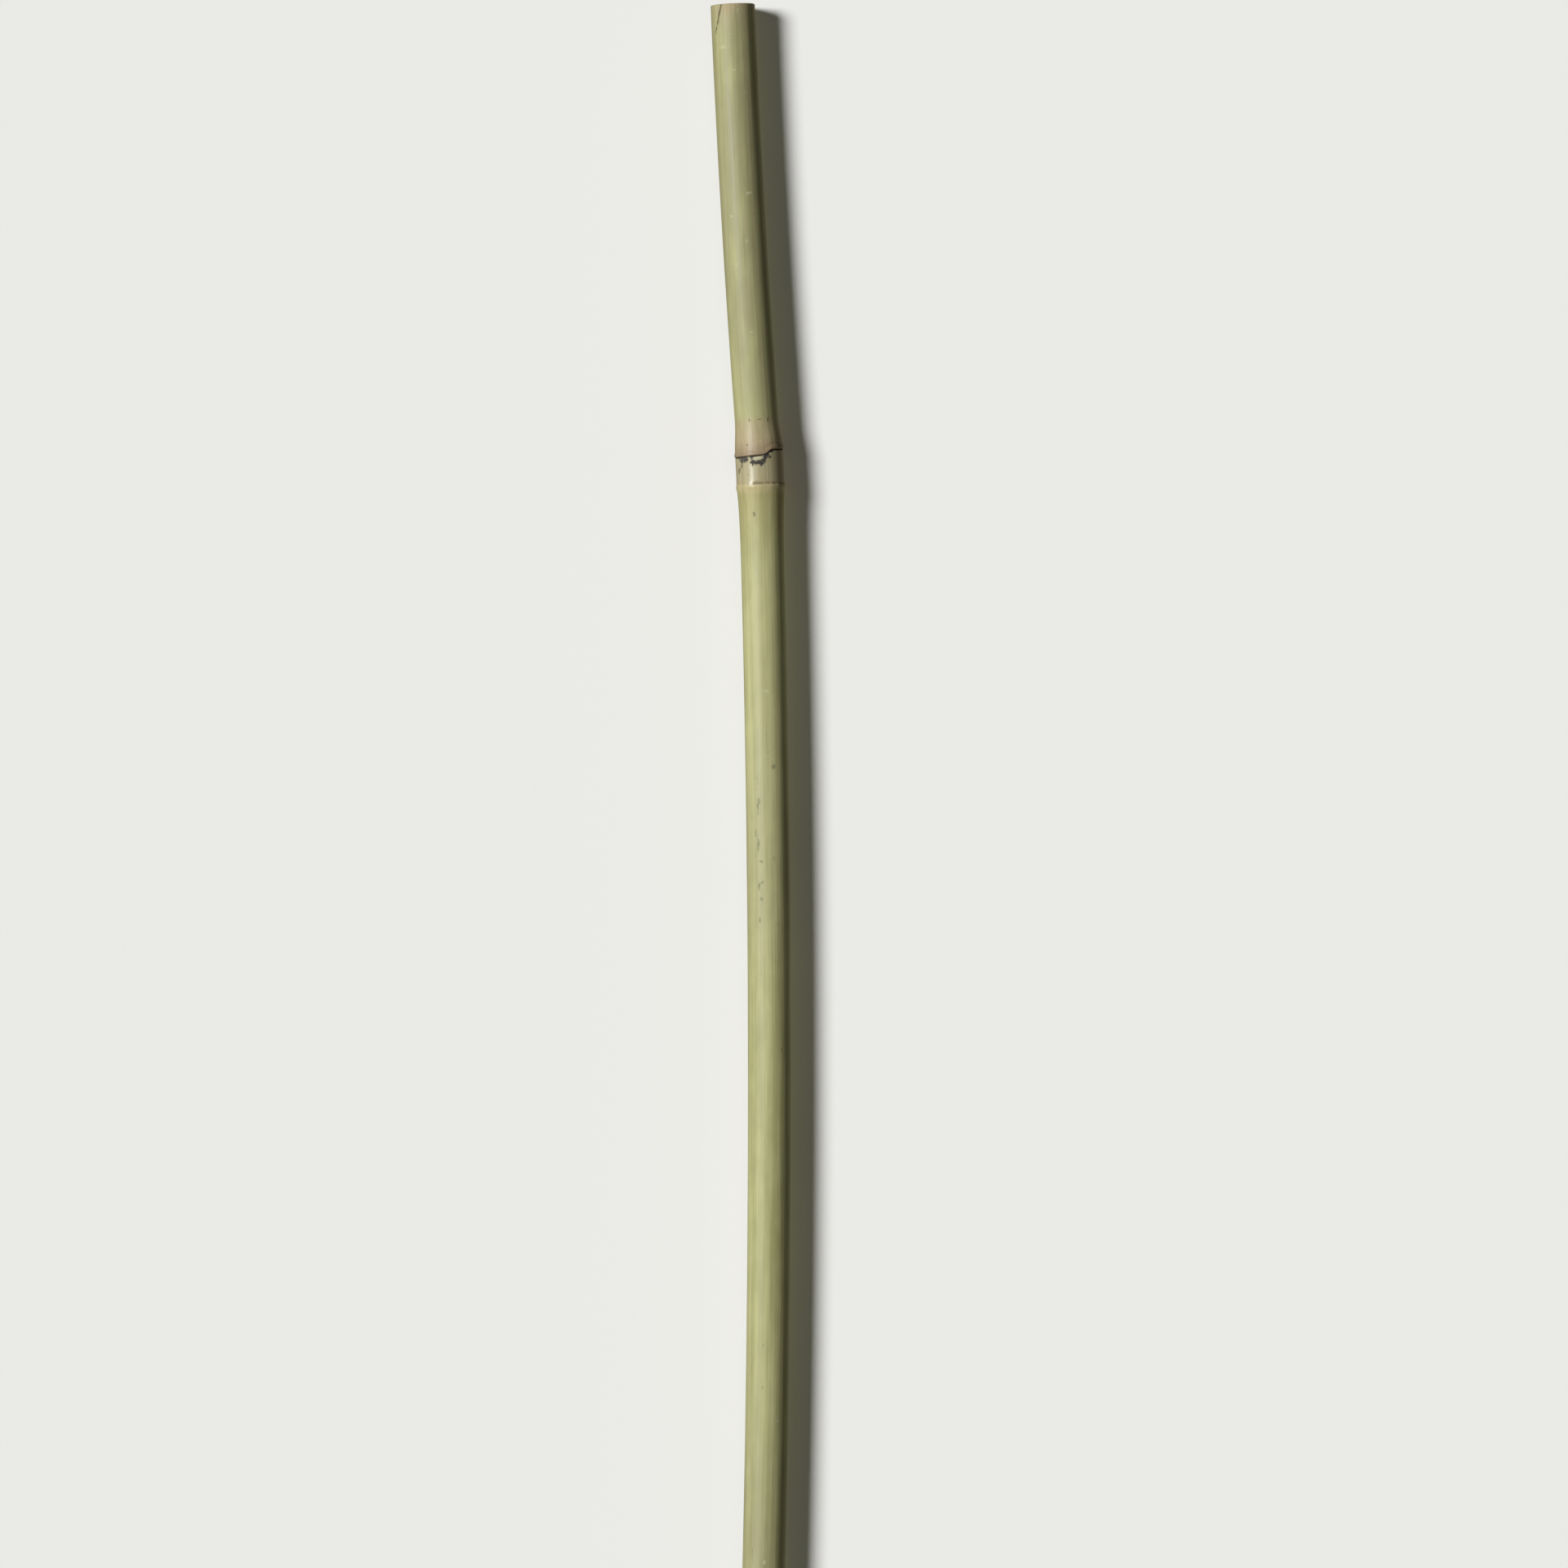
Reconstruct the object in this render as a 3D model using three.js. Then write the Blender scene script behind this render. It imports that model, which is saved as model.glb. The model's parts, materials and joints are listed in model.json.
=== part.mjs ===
// A bamboo garden cane: one sawn length of culm, lying on level ground and resting on its joints.
//
// Millimetres. Y runs along the cane with the butt, the end nearer the root, at +Y. Z is up and the
// ground is Z = 0. The outline of a straight cane is turned round the Y axis first. That straight
// cane is then pressed out of round, its sheath scars are slanted, its buds are raised, and last
// of all it takes the bow that it grew with.

import * as THREE from "three";

// ---- The culm ----
const BUTT_RADIUS = 6.0;
const TIP_RADIUS = 5.55;
const BUTT_BORE_RADIUS = 2.3;
const TIP_BORE_RADIUS = 2.6;
const RIM_BREAK = 0.25; // the saw's edge, rubbed off all round
const FLATTENING = 0.012; // share by which the section is wider one way than the other
const FLATTENING_ANGLE = 25; // degrees from +X towards +Z

// ---- Internodes, from butt to tip, each measured from scar to scar or to the saw cut ----
// bend is the turn in degrees that the internode makes along its length, towards +X.
const INTERNODES = [
  { length: 122, bend: 1.9 },
  { length: 328, bend: -3.4 },
  { length: 323, bend: -1.2 },
  { length: 127, bend: -0.5 },
];
const BUTT_HEADING = 2.3; // degrees from -Y towards +X, the way the cane leaves the butt

// ---- Joints ----
// kink is the sharper turn at the joint, in degrees. bud is the side that the bud grew on, in
// degrees from +X towards +Z: each bud is nearly opposite the one before.
const JOINTS = [
  { kink: -2.55, bud: -35 },
  { kink: -0.5, bud: 150 },
  { kink: -0.6, bud: -28 },
];
const KINK_CENTRE = 4.5; // all distances along a joint run from its sheath scar towards the tip
const KINK_SPREAD = 8;

const FLARE_LENGTH = 9; // the culm widens this far before the scar
const BAND_RISE = 0.62; // the band between scar and ridge, over the internode
const LIP_RISE = 0.24; // the sheath's torn-off edge, over the band
const LIP_CENTRE = -0.35;
const LIP_WIDTH = 0.38;
const RIDGE_RISE = 0.17;
const RIDGE_CENTRE = 9.4;
const RIDGE_WIDTH = 0.9;
const GROOVE_DEPTH = 0.1; // the fine groove along the ridge's butt side
const GROOVE_CENTRE = 8.2;
const GROOVE_WIDTH = 0.5;
const SHOULDER_LENGTH = 6.5; // how fast the swelling fades past the ridge
const SCAR_DIP = 1.35; // the scar dips towards the butt under the bud
const SCAR_DIP_REACH = 11;
const DIAPHRAGM_FACES = [4, 11]; // the wall across the hollow, inside the joint

// ---- Buds: a pruned stub on the ridge, and the flat that runs from it towards the tip ----
const BUD_CENTRE = 10.5;
const BUD_LENGTH = 2.6; // half its length along the cane
const BUD_WIDTH = 17; // half its width, in degrees round the cane
const BUD_RISE = 0.75;
const FLAT_DEPTH = 0.25;
const FLAT_WIDTH = 38;
const FLAT_LENGTH = 110;

// ---- How finely it is faceted ----
const SIDES = 35; // odd, so that the lowest facet of each joint lies flat on the ground
const RING_SPACING = 30;
const JOINT_RINGS = [
  -12, -9, -6.5, -4.5, -2.8, -1.4, -0.8, -0.35, 0.1, 0.45, 1.2, 4.2, 7.2, 8.2, 9.4, 10.6, 12.5,
  15.5, 20, 26, 34,
];

const LENGTH = INTERNODES.reduce((sum, internode) => sum + internode.length, 0);
const radians = THREE.MathUtils.degToRad;
const bell = (x) => Math.exp(-x * x);

// Each joint's sheath scar, as its distance from the butt.
const scars = JOINTS.map((joint, i) =>
  INTERNODES.slice(0, i + 1).reduce((sum, internode) => sum + internode.length, 0),
);

// The culm's radius between its joints: an even taper.
function internodeRadius(along) {
  return THREE.MathUtils.lerp(BUTT_RADIUS, TIP_RADIUS, along / LENGTH);
}

// How far a joint stands over the internode, at a distance past its scar.
function jointRise(past) {
  const flare = BAND_RISE * (1 - THREE.MathUtils.smoothstep(-past, 0, FLARE_LENGTH));
  const shoulder = BAND_RISE * Math.exp(-Math.max(0, past - RIDGE_CENTRE) / SHOULDER_LENGTH);
  const lip = LIP_RISE * bell((past - LIP_CENTRE) / LIP_WIDTH);
  const ridge = RIDGE_RISE * bell((past - RIDGE_CENTRE) / RIDGE_WIDTH);
  const groove = GROOVE_DEPTH * bell((past - GROOVE_CENTRE) / GROOVE_WIDTH);
  return Math.min(flare, shoulder) + lip + ridge - groove;
}

// The distances from the butt at which the skin has a ring of points: close together over each
// joint, and evenly spread between them.
function skinStations() {
  const stations = [RIM_BREAK];
  let last = RIM_BREAK;
  const spreadTo = (next) => {
    const steps = Math.ceil((next - last) / RING_SPACING);
    for (let i = 1; i <= steps; i++) stations.push(last + ((next - last) * i) / steps);
    last = next;
  };
  for (const scar of scars) {
    spreadTo(scar + JOINT_RINGS[0]);
    stations.push(...JOINT_RINGS.slice(1).map((past) => scar + past));
    last = scar + JOINT_RINGS.at(-1);
  }
  spreadTo(LENGTH - RIM_BREAK);
  return stations;
}

// The skin's radius, with every joint's swelling, before the section is pressed out of round.
function skinRadius(along) {
  return scars.reduce((radius, scar) => radius + jointRise(along - scar), internodeRadius(along));
}

// A blind hollow's wall, from its closed end out to the saw cut.
function hollowOutline(radius, closedAt, openAt) {
  const steps = Math.ceil(Math.abs(openAt - closedAt) / RING_SPACING);
  const wall = Array.from({ length: steps + 1 }, (_, i) => [
    radius,
    THREE.MathUtils.lerp(closedAt, openAt, i / steps),
  ]);
  return [[0, closedAt], ...wall];
}

// Half the straight cane's outline: in at the tip's hollow, round its rim, up the skin to the
// butt, and in again to the bottom of the butt's hollow. Each point is [radius, along].
function caneOutline() {
  const tipHollow = hollowOutline(TIP_BORE_RADIUS, scars.at(-1) + DIAPHRAGM_FACES[1], LENGTH);
  const buttHollow = hollowOutline(BUTT_BORE_RADIUS, scars[0] + DIAPHRAGM_FACES[0], 0);
  const skin = skinStations().map((along) => [skinRadius(along), along]);
  return [
    ...tipHollow,
    [TIP_RADIUS - RIM_BREAK, LENGTH],
    ...skin.reverse(),
    [BUTT_RADIUS - RIM_BREAK, 0],
    ...buttHollow.reverse(),
  ];
}

// The angle in degrees from one side of the cane to another, between -180 and 180.
function turnBetween(from, to) {
  return THREE.MathUtils.euclideanModulo(to - from + 180, 360) - 180;
}

// What one joint adds to the radius on its bud's side: the pruned stub, and the flat past it.
function budRise(past, turn) {
  const stub = BUD_RISE * bell((past - BUD_CENTRE) / BUD_LENGTH) * bell(turn / BUD_WIDTH);
  const fades =
    THREE.MathUtils.smoothstep(past, BUD_CENTRE, BUD_CENTRE + 12) *
    (1 - THREE.MathUtils.smoothstep(past, BUD_CENTRE + 12, BUD_CENTRE + FLAT_LENGTH));
  return stub - FLAT_DEPTH * fades * bell(turn / FLAT_WIDTH);
}

// The scar's dip under the bud, fading out before the ridge and before the internode.
function scarShift(past, turn) {
  const reach = past < 0 ? SCAR_DIP_REACH : GROOVE_CENTRE;
  const share = 1 - THREE.MathUtils.smoothstep(Math.abs(past), 0, reach);
  return -SCAR_DIP * share * Math.cos(radians(turn));
}

// The cane's way across the ground: its heading turns evenly along each internode, and within a
// short stretch at each joint. Returns a function from the distance along to place and heading.
function growBow() {
  const step = 0.5;
  const heading = (along) => {
    let degrees = BUTT_HEADING;
    let start = 0;
    for (const { length, bend } of INTERNODES) {
      degrees += bend * THREE.MathUtils.clamp((along - start) / length, 0, 1);
      start += length;
    }
    JOINTS.forEach(({ kink }, i) => {
      const centre = scars[i] + KINK_CENTRE;
      degrees += kink * THREE.MathUtils.smoothstep(along, centre - KINK_SPREAD, centre + KINK_SPREAD);
    });
    return radians(degrees);
  };
  const places = [new THREE.Vector2(0, 0)];
  for (let along = step / 2; along < LENGTH; along += step) {
    const turn = heading(along);
    const way = new THREE.Vector2(Math.sin(turn), -Math.cos(turn)).multiplyScalar(step);
    places.push(places.at(-1).clone().add(way));
  }
  return (along) => {
    const at = THREE.MathUtils.clamp(along / step, 0, places.length - 1);
    const before = Math.min(Math.floor(at), places.length - 2);
    return {
      place: places[before].clone().lerp(places[before + 1], at - before),
      turn: heading(along),
    };
  };
}

// Turns the outline round the Y axis and shapes the straight cane into the grown one.
function makeCane() {
  const points = caneOutline().map(([radius, along]) => new THREE.Vector2(radius, -along));
  const geometry = new THREE.LatheGeometry(points, SIDES);
  const bow = growBow();
  const position = geometry.getAttribute("position");
  const onAxis = 1e-6;
  for (let i = 0; i < position.count; i++) {
    const x = position.getX(i);
    const z = position.getZ(i);
    let along = -position.getY(i);
    let radius = Math.hypot(x, z);
    const side = THREE.MathUtils.radToDeg(Math.atan2(z, x));
    const isSkin = radius > BUTT_BORE_RADIUS + TIP_BORE_RADIUS && along > 0 && along < LENGTH;
    if (isSkin) {
      const nominal = along;
      JOINTS.forEach(({ bud }, j) => {
        const turn = turnBetween(bud, side);
        radius += budRise(nominal - scars[j], turn);
        along += scarShift(nominal - scars[j], turn);
      });
    }
    if (radius > onAxis)
      radius *= 1 + FLATTENING * Math.cos(2 * radians(side - FLATTENING_ANGLE));
    const { place, turn } = bow(along);
    const across = radius * Math.cos(radians(side));
    const axisHeight = internodeRadius(along) + BAND_RISE + LIP_RISE;
    position.setXYZ(
      i,
      place.x + across * Math.cos(turn),
      place.y + across * Math.sin(turn),
      axisHeight + radius * Math.sin(radians(side)),
    );
  }
  geometry.computeVertexNormals();
  return geometry;
}

const bambooSkin = new THREE.MeshStandardMaterial({
  color: 0xb3b07c,
  roughness: 0.42,
  metalness: 0,
});

const cane = new THREE.Mesh(makeCane(), bambooSkin);
cane.name = "bamboo_cane";

// The origin is on the ground, under the middle of the cane.
cane.geometry.computeBoundingBox();
const { min, max } = cane.geometry.boundingBox;
cane.position.set(-(min.x + max.x) / 2, -(min.y + max.y) / 2, -min.z);

const part = new THREE.Group();
part.add(cane);

export default part;
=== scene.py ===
"""A bamboo garden cane: one sawn length of culm, lying on pale ground in soft light.

The culm is a single closed surface. It starts as a straight cane, a grid of points over distance
along it and angle round it, whose radius is a formula. The grid is then given its slanted scars
and the bow that the cane grew with. All shape work is in millimetres; the mesh is in metres.
"""

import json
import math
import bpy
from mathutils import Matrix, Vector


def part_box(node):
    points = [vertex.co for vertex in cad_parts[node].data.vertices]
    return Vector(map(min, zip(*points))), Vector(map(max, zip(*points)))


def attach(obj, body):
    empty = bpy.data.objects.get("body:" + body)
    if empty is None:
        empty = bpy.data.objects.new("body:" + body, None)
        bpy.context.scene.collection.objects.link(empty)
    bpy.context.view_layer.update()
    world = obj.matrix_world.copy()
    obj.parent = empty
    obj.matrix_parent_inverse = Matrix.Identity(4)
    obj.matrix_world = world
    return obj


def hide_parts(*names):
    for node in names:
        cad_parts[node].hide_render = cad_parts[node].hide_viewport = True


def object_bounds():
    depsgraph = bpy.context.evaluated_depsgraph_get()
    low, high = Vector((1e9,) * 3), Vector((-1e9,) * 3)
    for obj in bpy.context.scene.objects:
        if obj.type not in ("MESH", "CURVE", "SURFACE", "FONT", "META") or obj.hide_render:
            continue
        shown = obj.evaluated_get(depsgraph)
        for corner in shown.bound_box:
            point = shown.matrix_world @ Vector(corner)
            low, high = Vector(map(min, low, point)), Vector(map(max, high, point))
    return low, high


bl_info = {
    "name": "Bamboo Cane",
    "version": (1, 0, 0),
    "blender": (4, 5, 0),
    "location": "View3D > Sidebar > Cane",
    "description": "Builds a bamboo garden cane with its joints, scars, buds and sawn ends",
    "category": "Add Mesh",
}

import bpy
import numpy as np
from bpy.props import FloatProperty, FloatVectorProperty, IntProperty, PointerProperty
from mathutils import Vector

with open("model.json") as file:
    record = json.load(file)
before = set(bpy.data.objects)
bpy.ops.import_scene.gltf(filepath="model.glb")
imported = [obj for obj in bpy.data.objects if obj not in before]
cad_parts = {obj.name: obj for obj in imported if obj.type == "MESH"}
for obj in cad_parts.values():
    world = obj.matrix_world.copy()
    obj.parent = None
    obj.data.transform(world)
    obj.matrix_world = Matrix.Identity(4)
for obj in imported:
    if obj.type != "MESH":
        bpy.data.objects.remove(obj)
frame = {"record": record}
CAD_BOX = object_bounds()

NODE = "bamboo_cane"
BODY = "root"
MM = 0.001

# ---- The culm, in millimetres and degrees ----
# Its sizes are the solid frame's, but for a finer ridge and groove and a scar that dips less.
# Internodes run from butt to tip, each from scar to scar or to the saw cut: length, and the turn in
# degrees towards +X that it makes along that length.
INTERNODES = ((122, 1.9), (328, -3.4), (323, -1.2), (127, -0.5))
# Joints: the sharper turn at each in degrees, and the side its bud grew on, from +X towards +Z.
JOINTS = ((-2.55, -35), (-0.5, 150), (-0.6, -28))
LENGTH = sum(length for length, _ in INTERNODES)
SCARS = tuple(np.cumsum([length for length, _ in INTERNODES])[:-1].tolist())
BUTT_HEADING = 2.3
KINK_CENTRE = 4.5  # places at a joint are measured past its scar, towards the tip
KINK_SPREAD = 8
FLATTENING_ANGLE = 25
FLARE_LENGTH = 9
BAND_RISE = 0.62
LIP_RISE = 0.24
RIDGE_RISE = 0.17
RIDGE_CENTRE = 9.45
RIDGE_WIDTH = 0.9
GROOVE_DEPTH = 0.16
GROOVE_CENTRE = 8.55
GROOVE_WIDTH = 0.3
DIRT_AND_SHADE_WIDTH = 0.34  # of the darkening in the groove, partly dirt and partly painted shade
SHOULDER_LENGTH = 6.5
SCAR_DIP = 0.85
SCAR_DIP_REACH = 11
SCAR_DIP_END = 8.2
SCAR_STEP_SHARE = 0.65  # how much of the dip is taken in one torn step on each side of the bud
SCAR_STEP_TURN = 102
SCAR_STEP_WIDTH = 0.12
DIAPHRAGM_FACES = (4, 11)  # the wall across the hollow, inside the joint
BUD_CENTRE = 10.5
BUD_LENGTH = 2.6
BUD_WIDTH = 17
BUD_RISE = 0.75
FLAT_DEPTH = 0.25
FLAT_WIDTH = 38
FLAT_LENGTH = 110

# ---- Finer growth, wear and saw work ----
LIP_CREST = -0.12  # the torn sheath's edge overhangs the scar
LIP_RUN_UP = 0.85
LIP_DROP = 0.16
CREVICE_CENTRE = 0.3
CREVICE_WIDTH = 0.16
CREVICE_DEPTH = 0.1
FURROW_CENTRE = -1.35  # a faint furrow where the sheath's base was, before the lip
FURROW_WIDTH = 0.22
FURROW_DEPTH = 0.1
TAN_START = -9.0  # where the skin turns from green to tan, before a scar
RIM_WEAR = 0.14
TEAR_DEPTH = 0.06
CRACK_DEPTH = 0.25
# Layers of noise: cells round the cane, cell length, and height.
FLUTES = ((16, 90, 0.5), (38, 55, 0.22), (76, 38, 0.13))
MARK_WANDER = ((44, 0.8, 0.2), (96, 0.4, 0.12))

# ---- Seeds of the noises; a layered noise takes the seeds that follow too ----
FLUTE_SEED = 11
JOINT_SEED = 20
TEAR_SEED = 31
SPLIT_WIDTH_SEED = 33
SPLIT_LINE_SEED = 34
BUTT_SEED = 41
TIP_SEED = 51
MARK_SEEDS = (61, 63)

# ---- Where the rings of points stand, in millimetres ----
# Spacing: place, the spacing there, and how fast it grows away from there.
END_SPACINGS = ((0, 0.08, 0.08), (LENGTH, 0.12, 0.15))
# Each scar's own, without the place, then what lies at every joint, placed past its scar.
SCAR_SPACINGS = ((0.08, 0.14), (0.12, 0.2), (0.12, 0.2))
JOINT_SPACINGS = ((BUD_CENTRE, 0.3, 0.2), (TAN_START, 0.45, 0.2))
# At a mark's middle: the least spacing, what its half length adds, and the growth.
MARK_SPACING = (0.2, 0.35, 0.7)
WIDEST_SPACING = 8.0
SPACING_STEPS = 60000  # how finely the spacing is summed along the cane
# Rings of a sawn end: how far from rim to hollow each lies on the face, how deep each lies on the
# hollow's wall, and how far from the middle each lies on its floor.
FACE_SHARES = (0, 0.03, 0.1, 0.25, 0.45, 0.65, 0.85, 0.96)
WALL_DEPTHS = (0.12, 0.4, 1.2, 3, 6, 12, 24, 45, 70, 95)
WALL_ENDS = (4, 1)  # the last rings of the wall, measured back from the floor
FLOOR_SHARES = (0.93, 0.7, 0.4)
FLOOR_DISH = 0.5

# The skin's point attributes that the materials read, beside the place on the straight cane.
READ_BY_MATERIALS = ("course", "cut", "groove", "stains", "bare")
# What each ring belongs to. A face between two rings belongs to the later one in this list.
SKIN, FACE, WALL, FLOOR = range(4)

# Tears at the butt, where skin pulled off with the saw: side in degrees, half width in degrees,
# length from the cut in millimetres.
BUTT_TEARS = (
    (116, 5.5, 4.2), (104, 5.5, 4.5), (102.5, 2.4, 7.0), (95, 2.2, 7.6), (93, 6, 3.8),
    (86.5, 2.4, 3.0), (262, 5, 3.1), (270, 4, 5.2),
)
TIP_TEARS = ((40, 4, 2.6), (48, 5, 4.0), (233, 4, 3.0))
# The butt's split: side in degrees, distance from the cut and how far it gapes, from its open end.
SPLIT = (
    (122, 0.0, 0.9), (137.5, 5.0, 1.0), (140, 5.8, 0.5), (143, 6.4, 0.95), (147, 7.5, 0.8),
    (150, 8.4, 0.25), (155.5, 9.6, 0.2), (157.5, 10.1, 0.75), (159, 10.7, 0.0),
)
SPLIT_WIDTH = 0.3

# Marks on the skin: distance from the butt, side in degrees, half width and half length in
# millimetres, strength.
MOULD = (
    (124.7, 108, 0.75, 0.6, 1.0), (124.8, 100, 0.6, 0.55, 1.0), (124.75, 92, 0.75, 0.55, 1.0),
    (124.8, 84, 0.65, 0.75, 1.0), (124.0, 77, 0.6, 0.6, 1.0), (125.3, 109, 0.22, 0.6, 0.9),
    (125.5, 88, 0.26, 0.7, 0.95), (125.2, 80, 0.22, 0.5, 0.8), (123.4, 109, 0.5, 0.6, 0.66),
    (123.4, 76, 0.6, 0.6, 0.95), (122.6, 69, 0.36, 0.85, 1.0), (123.5, 63, 0.5, 0.45, 1.0),
    (122.1, 62, 0.6, 0.25, 0.85), (123.9, 134, 1.5, 1.0, 0.72), (123.4, 147, 0.3, 0.8, 0.9),
    (123.0, 134, 1.5, 0.24, 0.9), (123.8, 122, 0.3, 0.8, 0.8), (125.4, 140, 0.6, 0.9, 0.5),
    (126.8, 150, 0.6, 1.2, 0.55), (124.9, 75, 0.3, 0.35, 0.7), (124.9, 61, 0.3, 0.3, 0.45),
    (124.6, 196, 1.6, 1.2, 0.8),
    (124.4, 231, 2.4, 0.9, 0.9), (123.0, 262, 1.3, 1.5, 0.75), (124.4, 300, 1.8, 0.7, 0.7),
    (451.6, 68, 2.2, 0.8, 0.9), (452.3, 96, 1.4, 1.5, 0.9), (451.9, 31, 1.0, 0.8, 0.7),
    (452.4, 214, 2.6, 1.1, 0.9), (452.0, 262, 1.7, 0.7, 0.6), (453.4, 318, 1.4, 1.9, 0.7),
    (775.2, 118, 2.3, 0.8, 0.8), (774.9, 88, 1.1, 1.2, 0.95), (775.0, 203, 1.9, 1.1, 0.85),
    (774.3, 250, 2.4, 0.7, 0.8), (774.7, 3, 1.4, 0.6, 0.7),
)
BRUISES = (
    (127.1, 117, 0.35, 0.5, 0.55), (128.1, 120, 0.4, 0.45, 0.6), (119.4, 114, 0.7, 0.25, 0.8),
    (119.9, 119, 0.28, 0.5, 0.7), (113.3, 110, 0.28, 0.55, 0.85), (113.2, 82, 0.7, 0.24, 0.75),
    (113.0, 72, 0.4, 0.22, 0.6), (113.6, 58, 0.3, 0.8, 1.0), (115.3, 76, 0.45, 0.25, 0.5),
    (115.0, 141, 0.7, 0.24, 0.45), (130.2, 98, 0.6, 0.34, 0.65), (130.5, 72, 0.35, 0.42, 0.7),
    (130.6, 55, 1.2, 0.3, 0.6), (138.8, 110, 0.6, 0.7, 0.75), (140.6, 101, 0.3, 0.4, 0.5),
    (113.2, 200, 0.3, 0.6, 0.9), (113.8, 248, 0.5, 0.3, 0.7), (441.5, 83, 0.3, 0.7, 0.9),
    (441.0, 120, 0.5, 0.25, 0.8), (441.8, 17, 0.3, 0.6, 0.8), (470.4, 100, 0.7, 0.8, 0.6),
    (764.6, 60, 0.3, 0.7, 0.8), (764.2, 101, 0.5, 0.3, 0.8), (793.0, 84, 0.6, 0.9, 0.6),
    (364.6, 103, 0.35, 0.45, 0.6), (376.1, 103, 0.28, 0.35, 0.65), (388.6, 146, 0.6, 0.4, 0.45),
    (422.0, 123, 0.14, 3.3, 0.8), (26.0, 63, 0.5, 0.3, 0.4), (17.2, 62, 0.4, 0.4, 0.4),
    (607.0, 71, 0.3, 0.6, 0.5), (668.0, 131, 0.4, 0.5, 0.5), (838.0, 111, 0.5, 0.4, 0.5),
    (302.0, 240, 0.5, 0.7, 0.5), (560.0, 255, 0.4, 0.9, 0.5),
)
SCUFFS = (
    (218.0, 117, 0.34, 2.1, 1.0), (216.8, 113, 0.32, 1.0, 0.85), (220.3, 118, 0.26, 0.8, 0.75),
    (212.0, 115, 0.9, 0.28, 0.5), (210.6, 119, 0.3, 1.2, 0.45), (213.6, 123, 0.8, 0.8, 0.35),
    (207.6, 73, 0.7, 0.8, 0.85), (221.3, 137, 0.6, 0.8, 0.5), (225.2, 126, 0.32, 1.2, 0.85),
    (226.3, 121, 0.38, 0.5, 0.7), (229.0, 117, 0.32, 1.8, 1.0), (228.0, 113, 0.28, 0.7, 0.7),
    (233.2, 110, 0.85, 0.32, 0.9), (240.0, 116, 0.36, 1.5, 0.9), (238.9, 108, 1.0, 0.28, 0.7),
    (243.6, 111, 0.9, 0.34, 0.8), (249.2, 115, 0.36, 0.9, 0.9), (232.4, 73, 0.6, 0.9, 0.5),
    (242.5, 71, 0.8, 0.9, 0.45), (250.5, 66, 1.1, 0.7, 0.4), (134.2, 92, 1.8, 1.2, 0.35),
    (611.0, 95, 0.4, 2.4, 0.8), (616.5, 99, 0.5, 1.2, 0.6), (622.0, 91, 0.4, 2.8, 0.7),
    (300.0, 205, 0.5, 3.0, 0.8), (308.0, 211, 0.4, 2.0, 0.6), (702.0, 228, 0.6, 3.2, 0.8),
    (860.0, 80, 0.4, 1.7, 0.7),
)
PALE_NICKS_AND_HIGHLIGHTS = (
    (51.7, 70, 1.3, 0.2, 0.9), (57.6, 124, 0.75, 0.25, 0.7), (70.9, 118, 0.7, 0.2, 0.7),
    (64.5, 84, 0.8, 0.8, 0.5), (56.5, 58, 0.4, 0.22, 0.6), (11.7, 126, 1.5, 0.6, 0.6),
    (8.3, 96, 0.9, 0.35, 0.5), (18.2, 95, 0.6, 0.4, 0.65), (24.0, 66, 0.5, 0.25, 0.6),
    # Two of these are painted highlights, not nicks: a glint in the clear patch below the first scar,
    # at 123.6 mm and side 93, and a cream highlight beside its groove, at 130.4 mm and side 113.
    (1.5, 78.5, 0.16, 1.6, 1.0), (123.6, 93, 1.2, 0.42, 0.9), (130.4, 113, 0.5, 0.7, 0.6),
    (385.1, 58, 0.5, 0.45, 0.8), (423.7, 89, 0.45, 0.45, 0.8), (142.5, 109, 0.5, 0.6, 0.5),
    (534.0, 104, 1.1, 0.25, 0.7), (648.0, 60, 0.8, 0.25, 0.6), (829.0, 96, 1.2, 0.25, 0.7),
    (190.0, 259, 1.2, 0.25, 0.7),
)


# ---- The finish ----
# How ripe the skin is, from 0, green, to 1, straw, and how much grey lies over it, wax near the butt
# and duller grey stretches further along, each by distance from the butt in millimetres.
RIPENESS = (
    (0, 0.45), (60, 0.42), (112, 0.42), (124, 0.5), (134, 0.42), (160, 0.72), (205, 0.8),
    (250, 0.62), (290, 0.35), (335, 0.4), (372, 0.38), (426, 0.3), (470, 0.5), (560, 0.75),
    (660, 0.55), (765, 0.4), (830, 0.6), (900, 0.5),
)
GREYING = (
    (0, 0.75), (95, 0.72), (130, 0.15), (165, 0.08), (200, 0.28), (232, 0.55), (262, 0.2),
    (330, 0.1), (385, 0.35), (412, 0.72), (440, 0.5), (480, 0.15), (600, 0.3), (700, 0.12),
    (760, 0.4), (900, 0.65),
)
DRIED_REACH = 9.0  # how far the skin has dried to tan from each cut
COAT = 0.32
COAT_ROUGHNESS = 0.24
SKIN_SPECULAR = 0.26
# On a sawn face, by distance from its middle: where the wood turns dense, and its green edge.
DENSE_WOOD = (4.3, 4.8)
GREEN_EDGE = (5.35, 5.75)

# ---- The stage ----
FILL_TURN = 35  # the light back up on the dark side: degrees from +X towards the tip
FILL_HEIGHT = -45  # degrees over the ground, so that it shines from below
GROUND_ROUGHNESS = 0.9
GROUND_REACH = 20.0  # metres to each side
SENSOR = 36  # the camera's width, in millimetres


def linear(red, green, blue):
    """A screen colour, 0 to 255, as the linear colour that shaders take."""
    screen = [value / 255 for value in (red, green, blue)]
    return [c / 12.92 if c <= 0.04045 else ((c + 0.055) / 1.055) ** 2.4 for c in screen]


# ---------------------------------------------------------------- settings


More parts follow.
